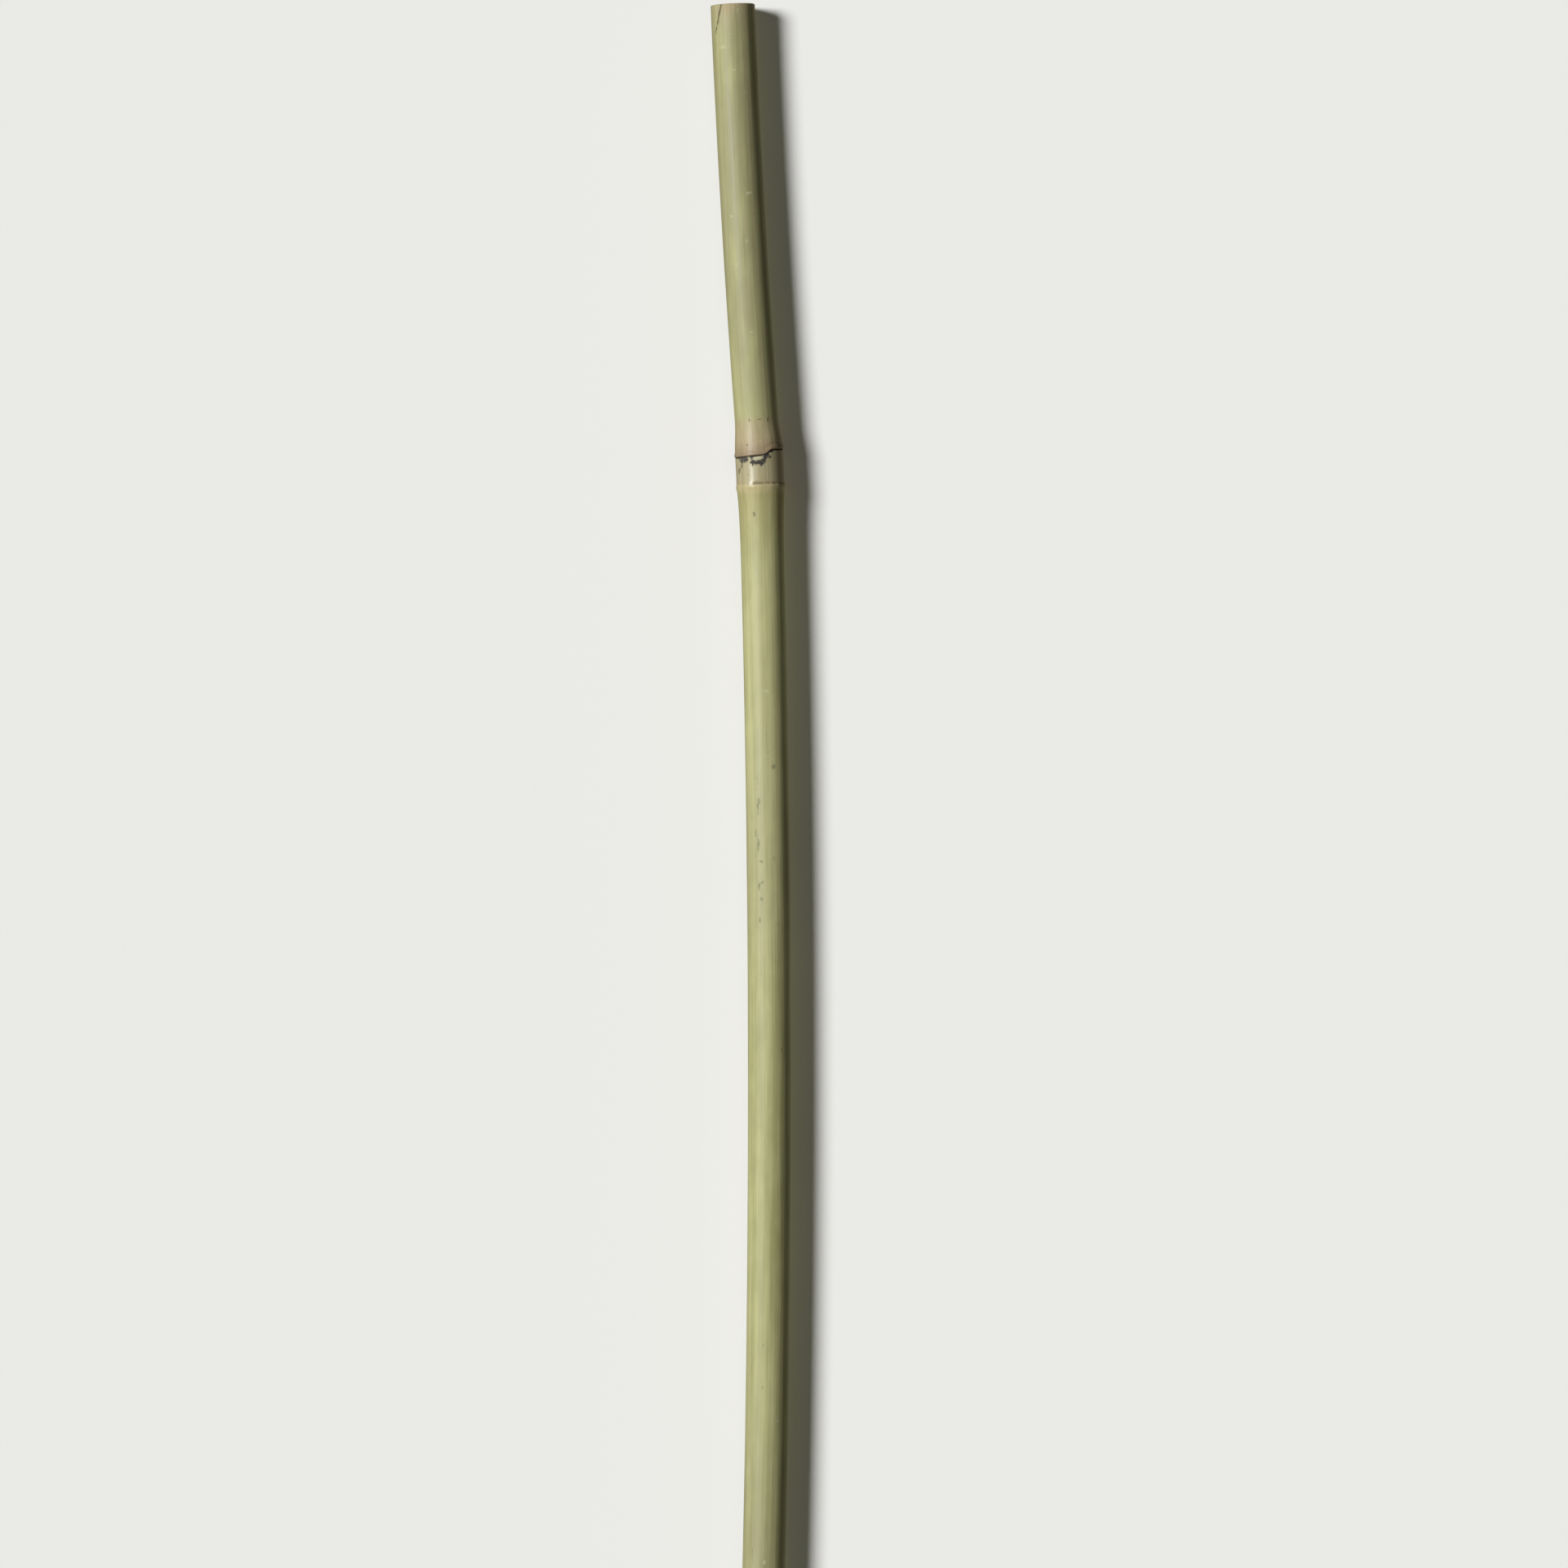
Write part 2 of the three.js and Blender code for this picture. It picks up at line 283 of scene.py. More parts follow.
def length_setting(name, default, description):
    return FloatProperty(name=name, default=default * MM, unit="LENGTH", description=description)


def colour_setting(name, default, description):
    return FloatVectorProperty(
        name=name,
        subtype="COLOR",
        size=3,
        min=0,
        max=1,
        default=linear(*default),
        description=description,
    )


class CulmSettings(bpy.types.PropertyGroup):
    """The culm's sizes and how finely it is meshed."""

    butt_radius: length_setting("Butt radius", 6.0, "Radius between joints at the butt")
    tip_radius: length_setting("Tip radius", 5.55, "Radius between joints at the tip")
    butt_bore: length_setting("Butt hollow", 2.3, "Radius of the hollow at the butt")
    tip_bore: length_setting("Tip hollow", 2.6, "Radius of the hollow at the tip")
    fibre_relief: length_setting("Fibre relief", 0.05, "Depth of the long flutes in the skin")
    flattening: FloatProperty(
        name="Flattening",
        default=0.012,
        description="Share by which the section is wider one way than the other",
    )
    sides: IntProperty(name="Sides", default=160, min=24, description="Points round the cane")
    rings: IntProperty(name="Rings", default=550, min=60, description="Rings of points on the skin")


class FinishSettings(bpy.types.PropertyGroup):
    """The colours of the skin, its marks and the bare wood."""

    green: colour_setting("Green skin", (174, 174, 120), "Skin where it is greenest")
    straw: colour_setting("Straw skin", (192, 190, 138), "Skin where it has ripened")
    # Laid on as wax near the butt, and as duller grey stretches further along.
    grey: colour_setting("Grey skin", (158, 154, 116), "Skin with wax on it, near the butt")
    tan: colour_setting("Tan skin", (180, 165, 130), "Skin that the sheath covered last")
    lip: colour_setting("Scar lip", (160, 141, 112), "The torn edge that the sheath left")
    band: colour_setting("Band", (178, 169, 133), "The band between scar and ridge")
    ridge: colour_setting("Ridge", (192, 180, 134), "The ridge past the band")
    fade: colour_setting("Fade", (174, 164, 114), "The skin just past the ridge")
    # Painted under each lip and along each groove, partly dirt and partly painted shade, and inside
    # the butt's split as painted shade.
    crevice: colour_setting("Crevice", (64, 52, 42), "Dirt under the lip and in the groove")
    mould: colour_setting("Mould", (42, 41, 47), "Blue-black mould below the scars")
    bruise: colour_setting("Bruise", (84, 68, 50), "Brown specks and bruises")
    scuff: colour_setting("Scuff", (112, 116, 86), "Grey-green scuffs")
    # Also the colour of two painted highlights by the first joint.
    nick_and_highlight: colour_setting("Nick", (214, 212, 178), "Pale nicks and scratches")
    wood: colour_setting("Bare wood", (196, 176, 138), "Wood laid bare by saw or tear")
    bundle: colour_setting("Fibre ends", (112, 86, 56), "Cut ends of the wood's fibre bundles")
    pith: colour_setting("Pith", (206, 190, 150), "Lining of the hollows")


class StageSettings(bpy.types.PropertyGroup):
    """The ground, the light and the camera."""

    camera_height: length_setting("Camera height", 2400, "Height of the camera over the ground")
    field: length_setting("Field", 426.7, "Length of cane that the camera takes in")
    aim_across: length_setting("Aim across", 13.5, "Camera's place towards +X from the butt")
    aim_along: length_setting("Aim along", -212.0, "Camera's place towards +Y from the butt")
    camera_turn: FloatProperty(
        name="Camera turn",
        default=math.radians(-0.126),
        subtype="ANGLE",
        description="How far the camera is turned round its own line of sight",
    )
    light_height: FloatProperty(
        name="Light height",
        default=math.radians(46),
        subtype="ANGLE",
        description="Angle of the light above the ground",
    )
    light_turn: FloatProperty(
        name="Light turn",
        default=math.radians(14),
        subtype="ANGLE",
        description="How far the light is turned from -X towards the butt",
    )
    light_width: FloatProperty(
        name="Light width",
        default=math.radians(18),
        subtype="ANGLE",
        description="Angle that the soft light fills, which softens the shadow",
    )
    light_strength: FloatProperty(name="Light strength", default=3.4, description="Key light")
    fill_strength: FloatProperty(
        name="Fill strength",
        default=0.95,
        description="Light back up on the side that the key leaves dark",
    )
    sky_strength: FloatProperty(
        name="Sky strength",
        default=0.08,
        description="Light from all round",
    )
    sky: colour_setting("Sky", (255, 252, 234), "Light from all round, warm as among other canes")
    ground: colour_setting("Ground", (250, 250, 248), "The ground")


# ---------------------------------------------------------------- whole-array maths


def smoothstep(x, low, high):
    """Rises from 0 at low to 1 at high along 3t^2 - 2t^3, and is flat outside."""
    t = np.clip((np.asarray(x, float) - low) / (high - low), 0, 1)
    return t * t * (3 - 2 * t)


def bell(x):
    """e to the power of minus x squared."""
    return np.exp(-np.square(x))


def turn_between(start, end):
    """The angle in degrees from one side to another, between -180 and 180."""
    return np.mod(end - start + 180, 360) - 180


def lattice_noise(side, along, cells_round, cell_length, seed):
    """Smooth noise from -1 to 1: random values on a lattice over the unrolled skin, which closes on
    itself round the cane, blended between lattice points by smoothstep."""
    draw = np.random.default_rng(seed)
    values = draw.uniform(-1, 1, (int(LENGTH / cell_length) + 6, cells_round))
    u, v = np.broadcast_arrays(side / 360 * cells_round, along / cell_length + 2)
    column, row = np.floor(u).astype(int), np.floor(v).astype(int)
    across, down = smoothstep(u - column, 0, 1), smoothstep(v - row, 0, 1)
    left, right = column % cells_round, (column + 1) % cells_round
    near = values[row, left] * (1 - across) + values[row, right] * across
    far = values[row + 1, left] * (1 - across) + values[row + 1, right] * across
    return near * (1 - down) + far * down


def round_noise(side, cells_round, seed):
    """Lattice noise that changes only round the cane."""
    return lattice_noise(side, 0 * side, cells_round, LENGTH, seed)


def layered_noise(side, along, layers, seed):
    """The sum of lattice noises, each with its own cells, height and seed."""
    return sum(
        height * lattice_noise(side, along, cells_round, cell_length, seed + index)
        for index, (cells_round, cell_length, height) in enumerate(layers)
    )


def marks(side, along, radius, spots):
    """The strongest of the given spots at each point: each is its strength inside an ellipse on the
    skin, and fades to nothing over the ellipse's outer part. Layered noises first push every
    point a little aside, so that no outline stays smooth."""
    field = np.zeros(np.broadcast(side, along).shape)
    aside, onwards = (layered_noise(side, along, MARK_WANDER, seed) for seed in MARK_SEEDS)
    side = side + np.degrees(aside / radius)
    along = along + onwards
    for centre, at_side, half_width, half_length, strength in spots:
        near = np.abs(along[:, 0] - centre) < 2 * half_length + 3
        across = np.radians(turn_between(at_side, side[near])) * radius / half_width
        reach = np.hypot(across, (along[near] - centre) / half_length)
        spot = strength * (1 - smoothstep(reach, 0.45, 1.5))
        field[near] = np.maximum(field[near], spot)
    return field


# ---------------------------------------------------------------- the culm's shape


class Culm:
    """The culm's formulas, for one set of sizes in millimetres."""

    def __init__(self, settings):
        self.butt, self.tip = settings.butt_radius / MM, settings.tip_radius / MM
        self.butt_bore, self.tip_bore = settings.butt_bore / MM, settings.tip_bore / MM
        self.relief = settings.fibre_relief / MM
        self.flattening = settings.flattening

    def plain_radius(self, along):
        """An even taper from butt to tip."""
        return self.butt + (self.tip - self.butt) * along / LENGTH

    def joint_rise(self, past, side, bud, seed):
        """How far a joint stands over the internode at a distance past its scar. The flare rises by
        smoothstep to the band, and the shoulder sinks from the ridge exponentially. On them lie a
        furrow, a lip with a long run-up and a short drop, a crevice, a groove and a ridge, all
        bells. Round the cane, noise takes a little off each, and the groove fades out opposite
        the bud."""
        uneven = round_noise(side, 34, seed)
        finer = round_noise(side, 90, seed + 1)
        flare = BAND_RISE * (1 - smoothstep(-past, 0, FLARE_LENGTH))
        shoulder = BAND_RISE * np.exp(-np.maximum(0, past - RIDGE_CENTRE) / SHOULDER_LENGTH)
        crest = LIP_CREST + 0.05 * finer
        run = np.where(past < crest, LIP_RUN_UP, LIP_DROP)
        lip = LIP_RISE * (0.8 + 0.14 * uneven + 0.06 * finer) * bell((past - crest) / run)
        crevice = CREVICE_DEPTH * bell((past - CREVICE_CENTRE) / CREVICE_WIDTH)
        wavering = FURROW_CENTRE + 0.25 * uneven
        furrow = FURROW_DEPTH * (0.6 + 0.4 * finer) * bell((past - wavering) / FURROW_WIDTH)
        ridge = RIDGE_RISE * (0.85 + 0.15 * uneven) * bell((past - RIDGE_CENTRE) / RIDGE_WIDTH)
        depth = GROOVE_DEPTH * (0.75 + 0.25 * finer) * groove_share(turn_between(bud, side))
        groove = depth * bell((past - GROOVE_CENTRE) / GROOVE_WIDTH)
        return np.minimum(flare, shoulder) + lip + ridge - crevice - groove - furrow

    def bud_rise(self, past, turn):
        """What a joint adds on its bud's side: a stub, cut off level, with a furrow round its foot,
        and the shallow flat that runs on towards the tip."""
        reach = np.hypot((past - BUD_CENTRE) / BUD_LENGTH, turn / BUD_WIDTH)
        stub = BUD_RISE * 0.9 * (1 - smoothstep(reach, 0.42, 1.25))
        stub += 0.05 * bell((reach - 0.45) / 0.1) - 0.1 * bell((reach - 1.25) / 0.16)
        start, full, end = BUD_CENTRE, BUD_CENTRE + 12, BUD_CENTRE + FLAT_LENGTH
        fades = smoothstep(past, start, full) * (1 - smoothstep(past, full, end))
        return stub - FLAT_DEPTH * fades * bell(turn / FLAT_WIDTH)

    def scar_shift(self, past, turn):
        """The scar's dip towards the butt under the bud: partly a cosine round the cane, partly a
        step on each side where the sheath tore, a hyperbolic tangent of that cosine. It fades out
        by smoothstep before the ridge and before the internode."""
        reach = np.where(past < 0, SCAR_DIP_REACH, SCAR_DIP_END)
        share = 1 - smoothstep(np.abs(past) / reach, 0, 1)
        slant = np.cos(np.radians(turn))
        step = np.tanh((slant - math.cos(math.radians(SCAR_STEP_TURN))) / SCAR_STEP_WIDTH)
        return -SCAR_DIP * share * (slant + (step - slant) * SCAR_STEP_SHARE)

    def flutes(self, side, along):
        """Long shallow hollows between the fibres: layered noise, lowered by its greatest height
        so that all of them are cut inwards."""
        highest = sum(height for _, _, height in FLUTES)
        return self.relief * (layered_noise(side, along, FLUTES, FLUTE_SEED) - highest) / 2

    def heading(self, along):
        """The cane's heading in radians from -Y towards +X: it turns evenly along each internode,
        and by smoothstep within a short stretch at each joint."""
        degrees = BUTT_HEADING
        start = 0
        for length, bend in INTERNODES:
            degrees = degrees + bend * np.clip((along - start) / length, 0, 1)
            start += length
        for scar, (kink, _) in zip(SCARS, JOINTS):
            centre = scar + KINK_CENTRE
            degrees = degrees + kink * smoothstep(along, centre - KINK_SPREAD, centre + KINK_SPREAD)
        return np.radians(degrees)

    def bow(self, along):
        """The centreline's place across the ground and its heading, from the heading summed in
        half-millimetre steps."""
        step = 0.5
        middles = np.arange(step / 2, LENGTH, step)
        turns = self.heading(middles)
        ways = np.stack([np.sin(turns), -np.cos(turns)]) * step
        path = np.concatenate([np.zeros((2, 1)), np.cumsum(ways, axis=1)], axis=1)
        marks_along = np.arange(path.shape[1]) * step
        x, y = (np.interp(along, marks_along, line) for line in path)
        return x, y, self.heading(along)

    def bend(self, radius, along, side):
        """Turns distance from the axis, distance along and side into a place. The section is
        pressed out of round, and the axis rides so high that the joints' lips touch the ground."""
        oval = np.cos(2 * np.radians(side - FLATTENING_ANGLE))
        radius = radius * (1 + self.flattening * oval)
        x, y, turn = self.bow(along)
        across = radius * np.cos(np.radians(side))
        height = self.plain_radius(along) + BAND_RISE + LIP_RISE
        up = height + radius * np.sin(np.radians(side))
        return np.stack([x + across * np.cos(turn), y + across * np.sin(turn), up], axis=-1)


def groove_share(turn):
    """1 where the groove is cut, fading to 0 opposite the bud, by smoothstep on the cosine of the
    angle from the bud."""
    return smoothstep(np.cos(np.radians(turn)), -0.9, -0.74)


def crowded_rings(count):
    """Distances along the cane for a number of rings. Round each feature the wanted spacing grows
    with distance from it, and the rings take equal shares of the summed inverse spacing."""
    features = list(END_SPACINGS)
    for scar, (least, growth) in zip(SCARS, SCAR_SPACINGS):
        features += [(scar, least, growth), (scar + GROOVE_CENTRE, 1.6 * least, 1.2 * growth)]
        features += [(scar + past, *spacing) for past, *spacing in JOINT_SPACINGS]
    least, added, growth = MARK_SPACING
    for centre, _, _, half_length, _ in BRUISES + SCUFFS + PALE_NICKS_AND_HIGHLIGHTS:
        features.append((centre, least + added * half_length, growth))
    along = np.linspace(0, LENGTH, SPACING_STEPS + 1)
    spacing = np.full(along.shape, WIDEST_SPACING)
    for place, least, growth in features:
        spacing = np.minimum(spacing, least + growth * np.abs(along - place))
    shares = np.cumsum(1 / spacing)
    return np.interp(np.linspace(shares[0], shares[-1], count), shares, along)


def tear_reach(side, tears):
    """How far from the cut the skin is torn at each side: the longest of a set of slivers, each a
    triangle that narrows away from the cut."""
    reach = np.zeros(np.shape(side))
    for at_side, half_width, length in tears:
        share = 1 - np.abs(turn_between(at_side, side)) / half_width
        reach = np.maximum(reach, length * np.clip(share, 0, 1))
    return reach


def split_share(side, along, radius):
    """1 along the butt's split, fading to 0 at its edges: distance in millimetres across the skin
    from a line whose side at each distance from the cut is interpolated, as is how far it gapes.
    Noise makes the line waver and its width uneven."""
    sides, places, gapes = zip(*SPLIT)
    off = np.radians(turn_between(np.interp(along, places, sides), side)) * radius
    off = off + 0.1 * lattice_noise(side, along, 70, 0.7, SPLIT_LINE_SEED)
    uneven = lattice_noise(side, along, 60, 0.8, SPLIT_WIDTH_SEED)
    width = SPLIT_WIDTH * (1 + 0.3 * uneven)
    return bell(off / width) * np.interp(along, places, gapes)


def skin_grid(culm, sides, rings):
    """The skin from butt to tip: every point's radius, its distance along, and what the materials
    read. The course is the distance along before the scars are slanted, so that a scar is at the
    same course all round."""
    side = np.linspace(0, 360, sides, endpoint=False)[None, :]
    nominal = crowded_rings(rings)[:, None] * (1 - 2 * RIM_WEAR / LENGTH) + RIM_WEAR
    radius = culm.plain_radius(nominal) + culm.flutes(side, nominal)
    along = nominal + 0 * side
    bud_cut = np.zeros(along.shape)
    groove = np.zeros(along.shape)
    for index, (scar, (_, bud)) in enumerate(zip(SCARS, JOINTS)):
        past = nominal - scar
        turn = turn_between(bud, side)
        radius = radius + culm.joint_rise(past, side, bud, JOINT_SEED + 2 * index)
        radius = radius + culm.bud_rise(past, turn)
        # Where the groove is darkened in the crevice colour, partly dirt and partly painted shade.
        groove = np.maximum(groove, bell((past - GROOVE_CENTRE) / DIRT_AND_SHADE_WIDTH) * groove_share(turn))
        along = along + culm.scar_shift(past, turn)
        reach = np.hypot((past - BUD_CENTRE) / BUD_LENGTH, turn / BUD_WIDTH)
        bud_cut = np.maximum(bud_cut, 1 - smoothstep(reach, 0.3, 0.6))

    ragged = 0.6 * lattice_noise(side, along, 80, 2.2, TEAR_SEED)
    from_tip = LENGTH - nominal
    torn = np.maximum(
        tear_reach(side, BUTT_TEARS) + ragged - nominal,
        tear_reach(side, TIP_TEARS) + ragged - from_tip,
    )
    torn = smoothstep(torn, -1.2, 2.6)
    split = split_share(side, nominal, culm.butt)
    radius = radius - TEAR_DEPTH * torn - CRACK_DEPTH * split
    mould, bruises, scuffs, nicks_and_highlights = (
        marks(side, along, culm.butt, spots) for spots in (MOULD, BRUISES, SCUFFS, PALE_NICKS_AND_HIGHLIGHTS)
    )
    return {
        "radius": radius,
        "along": along,
        "course": nominal + 0 * side,
        "stains": np.stack([mould, bruises, scuffs], axis=-1),
        "bare": np.stack([torn, split, nicks_and_highlights], axis=-1),
        "cut": bud_cut,
        "groove": groove,
        "nominal": nominal[:, 0],
    }


def end_grid(culm, at_butt, sides):
    """One sawn end and its hollow, from the rim inwards: rings of radius and distance along. The
    face wanders a little, as a hand saw leaves it, and the hollow's wall and floor are uneven."""
    side = np.linspace(0, 360, sides, endpoint=False)[None, :]
    if at_butt:
        plain, bore, tears, seed = culm.butt, culm.butt_bore, BUTT_TEARS, BUTT_SEED
        cut_at, depth = 0.0, SCARS[0] + DIAPHRAGM_FACES[0]
    else:
        plain, bore, tears, seed = culm.tip, culm.tip_bore, TIP_TEARS, TIP_SEED
        cut_at, depth = LENGTH, LENGTH - SCARS[-1] - DIAPHRAGM_FACES[1]
    outer = plain + culm.flutes(side, np.full((1, 1), cut_at))
    outer = outer - TEAR_DEPTH * (tear_reach(side, tears) > 0.5)
    if at_butt:
        outer = outer - CRACK_DEPTH * split_share(side, 0 * side, culm.butt)
    bore_edge = bore * (1 + 0.02 * round_noise(side, 12, seed))

    face_shares = np.array(FACE_SHARES)[:, None]
    face_radius = outer - RIM_WEAR + (bore_edge + 0.1 - outer + RIM_WEAR) * face_shares
    sink = 0.03 + 0.03 * lattice_noise(side, 60 * face_shares, 24, 14, seed + 1)
    face_depth = sink * (face_shares > 0) + 0 * side

    wall_depth = np.array([*WALL_DEPTHS, *(depth - back for back in WALL_ENDS)])[:, None]
    wall_noise = lattice_noise(side, wall_depth, 14, 18, seed + 2)
    wall_radius = bore_edge * (1 + 0.025 * wall_noise * smoothstep(wall_depth, 0.4, 4))

    floor_shares = np.array(FLOOR_SHARES)[:, None]
    floor_radius = bore_edge * floor_shares
    floor = depth - FLOOR_DISH
    floor_depth = floor + FLOOR_DISH * floor_shares**2 + 0 * side

    radius = np.concatenate([face_radius, wall_radius, floor_radius])
    inwards = np.concatenate([face_depth, wall_depth + 0 * side, floor_depth])
    counts = [len(face_radius), len(wall_radius), len(floor_radius)]
    labels = np.repeat([FACE, WALL, FLOOR], counts)
    if at_butt:
        return radius[::-1], inwards[::-1], labels[::-1], floor
    return radius, LENGTH - inwards, labels, LENGTH - floor


def culm_rings(culm, sides, rings):
    """All rings of the closed culm in order: the butt's hollow from its floor out, the butt's face,
    the skin, the tip's face, and the tip's hollow down to its floor."""
    skin = skin_grid(culm, sides, rings)
    butt_radius, butt_along, butt_labels, butt_floor = end_grid(culm, True, sides)
    tip_radius, tip_along, tip_labels, tip_floor = end_grid(culm, False, sides)
    before, after = len(butt_labels), len(tip_labels)

    def with_ends(values):
        """The skin's values, with noughts on the rings of the two ends."""
        ends = [np.zeros((count,) + values.shape[1:]) for count in (before, after)]
        return np.concatenate([ends[0], values, ends[1]])

    return {
        "radius": np.concatenate([butt_radius, skin["radius"], tip_radius]),
        "along": np.concatenate([butt_along, skin["along"], tip_along]),
        "labels": np.concatenate([butt_labels, np.full(rings, SKIN), tip_labels]),
        "nominal": with_ends(skin["nominal"]),
        **{name: with_ends(skin[name]) for name in READ_BY_MATERIALS},
        "first_skin": before,
        "last_skin": before + rings - 1,
        "floors": (butt_floor, tip_floor),
    }


# The map that the finish is baked on, in millimetres: the skin lies in strips side by side, and
# above them lie the faces and the hollows' floors as discs, and the hollows' walls as rectangles.
STRIP_LENGTH = 180
STRIP_PITCH = 39.0
STRIP_WIDTH = 37.7
STRIP_SHRINK = 0.96
STRIP_FOOT = 3.0
MAP_WIDTH = STRIP_PITCH * LENGTH / STRIP_LENGTH
DISC_HEIGHT = 187.8
FACE_CENTRES = (7.0, 20.5)
FLOOR_CENTRES = (31.0, 38.0)
WALL_STARTS = (52.0, 124.5)
WALL_RING = 5.2
WALL_FOOT, WALL_WIDTH = 181.6, 12.4


def baked_places(grid):
    """Each face's four corners on the baked map, in the order of the face's points."""
    labels, radius, nominal = grid["labels"], grid["radius"], grid["nominal"]
    rows, sides = len(labels) - 1, radius.shape[1]
    share = np.arange(sides + 1)[None, :] / sides
    angle = 2 * np.pi * share
    label = np.maximum(labels[:-1], labels[1:])[:, None]
    far_end = (np.arange(rows) > grid["last_skin"] - 1).astype(int)[:, None]
    middle = (nominal[:-1] + nominal[1:])[:, None] / 2
    strip = np.clip(np.floor(middle / STRIP_LENGTH), 0, LENGTH // STRIP_LENGTH - 1)
    places = np.empty((rows, 2, sides + 1, 2))
    for step in (0, 1):
        ring = np.arange(rows) + step
        reach = np.concatenate([radius[ring], radius[ring, :1]], axis=1)
        skin_u = STRIP_PITCH * (strip + 0.5) + STRIP_WIDTH * (share - 0.5)
        skin_v = STRIP_FOOT + STRIP_SHRINK * (nominal[ring][:, None] - strip * STRIP_LENGTH)
        on_face, on_floor = np.take(FACE_CENTRES, far_end), np.take(FLOOR_CENTRES, far_end)
        centre = np.where(label == FACE, on_face, on_floor)
        disc_u, disc_v = centre + reach * np.cos(angle), DISC_HEIGHT + reach * np.sin(angle)
        past_tip, before_butt = ring - grid["last_skin"], grid["first_skin"] - ring
        inwards = np.where(far_end == 1, past_tip[:, None], before_butt[:, None])
        wall_u = np.take(WALL_STARTS, far_end) + WALL_RING * (inwards - len(FACE_SHARES))
        wall_v = WALL_FOOT + WALL_WIDTH * share
        choices = [label == SKIN, label == WALL]
        places[:, step, :, 0] = np.select(choices, [skin_u + 0 * angle, wall_u + 0 * angle], disc_u)
        places[:, step, :, 1] = np.select(choices, [skin_v + 0 * angle, wall_v + 0 * disc_v], disc_v)
    near, far = places[:, 0], places[:, 1]
    corners = np.stack([near[:, :-1], near[:, 1:], far[:, 1:], far[:, :-1]], axis=2)
    return corners / MAP_WIDTH


def fan_places(ring, sides, centre):
    """The baked map's corners for the fan of triangles that closes a hollow's floor."""
    share = np.arange(sides + 1) / sides * 2 * np.pi
    rim = np.stack([centre + ring[0] * np.cos(share), DISC_HEIGHT + ring[0] * np.sin(share)], axis=-1)
    middle = np.broadcast_to([centre, DISC_HEIGHT], (sides, 2))
    return np.stack([rim[:-1], rim[1:], middle], axis=1) / MAP_WIDTH


def point_attribute(mesh, name, values):
    """Stores one number, or a vector of three, for each point."""
    if values.ndim == 1:
        mesh.attributes.new(name, "FLOAT", "POINT").data.foreach_set("value", values)
    else:
        mesh.attributes.new(name, "FLOAT_VECTOR", "POINT").data.foreach_set("vector", values.ravel())


def culm_faces(rings, sides):
    """Quads from each ring to the next, and the two fans of triangles that close the hollows'
    floors, each round one more point after those of the rings."""
    ring, column = np.mgrid[0 : rings - 1, 0:sides]
    here, there = ring * sides + column, ring * sides + (column + 1) % sides
    quads = np.stack([here, there, there + sides, here + sides], axis=-1).reshape(-1, 4)
    first = np.arange(sides)
    after = (first + 1) % sides
    last = (rings - 1) * sides
    butt_pole = np.full(sides, rings * sides)
    butt_fan = np.stack([after, first, butt_pole], axis=-1)
    tip_fan = np.stack([last + first, last + after, butt_pole + 1], axis=-1)
    return quads.tolist() + butt_fan.tolist() + tip_fan.tolist()


def culm_mesh(settings):
    """The culm's mesh: rings joined by quads, a fan at the floor of each hollow, one material for
    skin, one for cut wood and one for the hollows, and the attributes that the materials read."""
    culm, sides = Culm(settings), settings.sides
    grid = culm_rings(culm, sides, settings.rings)
    side = np.linspace(0, 360, sides, endpoint=False)[None, :]
    floors = np.array(grid["floors"])
    places = culm.bend(grid["radius"], grid["along"], side).reshape(-1, 3)
    places = np.concatenate([places, culm.bend(0 * floors, floors, 0 * floors)])
    low, high = (np.array(corner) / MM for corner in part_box(NODE))
    own_low, own_high = places.min(axis=0), places.max(axis=0)
    move = (low + high - own_low - own_high) / 2
    move[2] = low[2] - own_low[2]

    rings = len(grid["labels"])
    faces = culm_faces(rings, sides)
    mesh = bpy.data.meshes.new("culm")
    mesh.from_pydata(((places + move) * MM).tolist(), [], faces)
    label = np.maximum(grid["labels"][:-1], grid["labels"][1:])
    materials = np.concatenate([np.repeat(np.minimum(label, WALL), sides), np.full(2 * sides, WALL)])
    mesh.polygons.foreach_set("material_index", materials.astype(np.int32))
    mesh.polygons.foreach_set("use_smooth", np.ones(len(faces), bool))

    butt_corners = fan_places(grid["radius"][0], sides, FLOOR_CENTRES[0])[:, [1, 0, 2]]
    tip_corners = fan_places(grid["radius"][-1], sides, FLOOR_CENTRES[1])
    corners = [baked_places(grid), butt_corners, tip_corners]
    baked = mesh.uv_layers.new(name="OFBake")
    baked.uv.foreach_set("vector", np.concatenate([part.ravel() for part in corners]))

    angle = np.radians(side)
    straight = [grid["radius"] * np.cos(angle), grid["along"], grid["radius"] * np.sin(angle)]
    straight = np.stack(straight, axis=-1).reshape(-1, 3)
    poles = np.stack([0 * floors, floors, 0 * floors], axis=-1)
    point_attribute(mesh, "straight", np.concatenate([straight, poles]))
    for name in READ_BY_MATERIALS:
        values = grid[name].reshape(rings * sides, -1)
        values = np.concatenate([values, values[-2:]])
        point_attribute(mesh, name, values[:, 0] if values.shape[1] == 1 else values)
    mesh.update()
    return mesh


# ---------------------------------------------------------------- materials


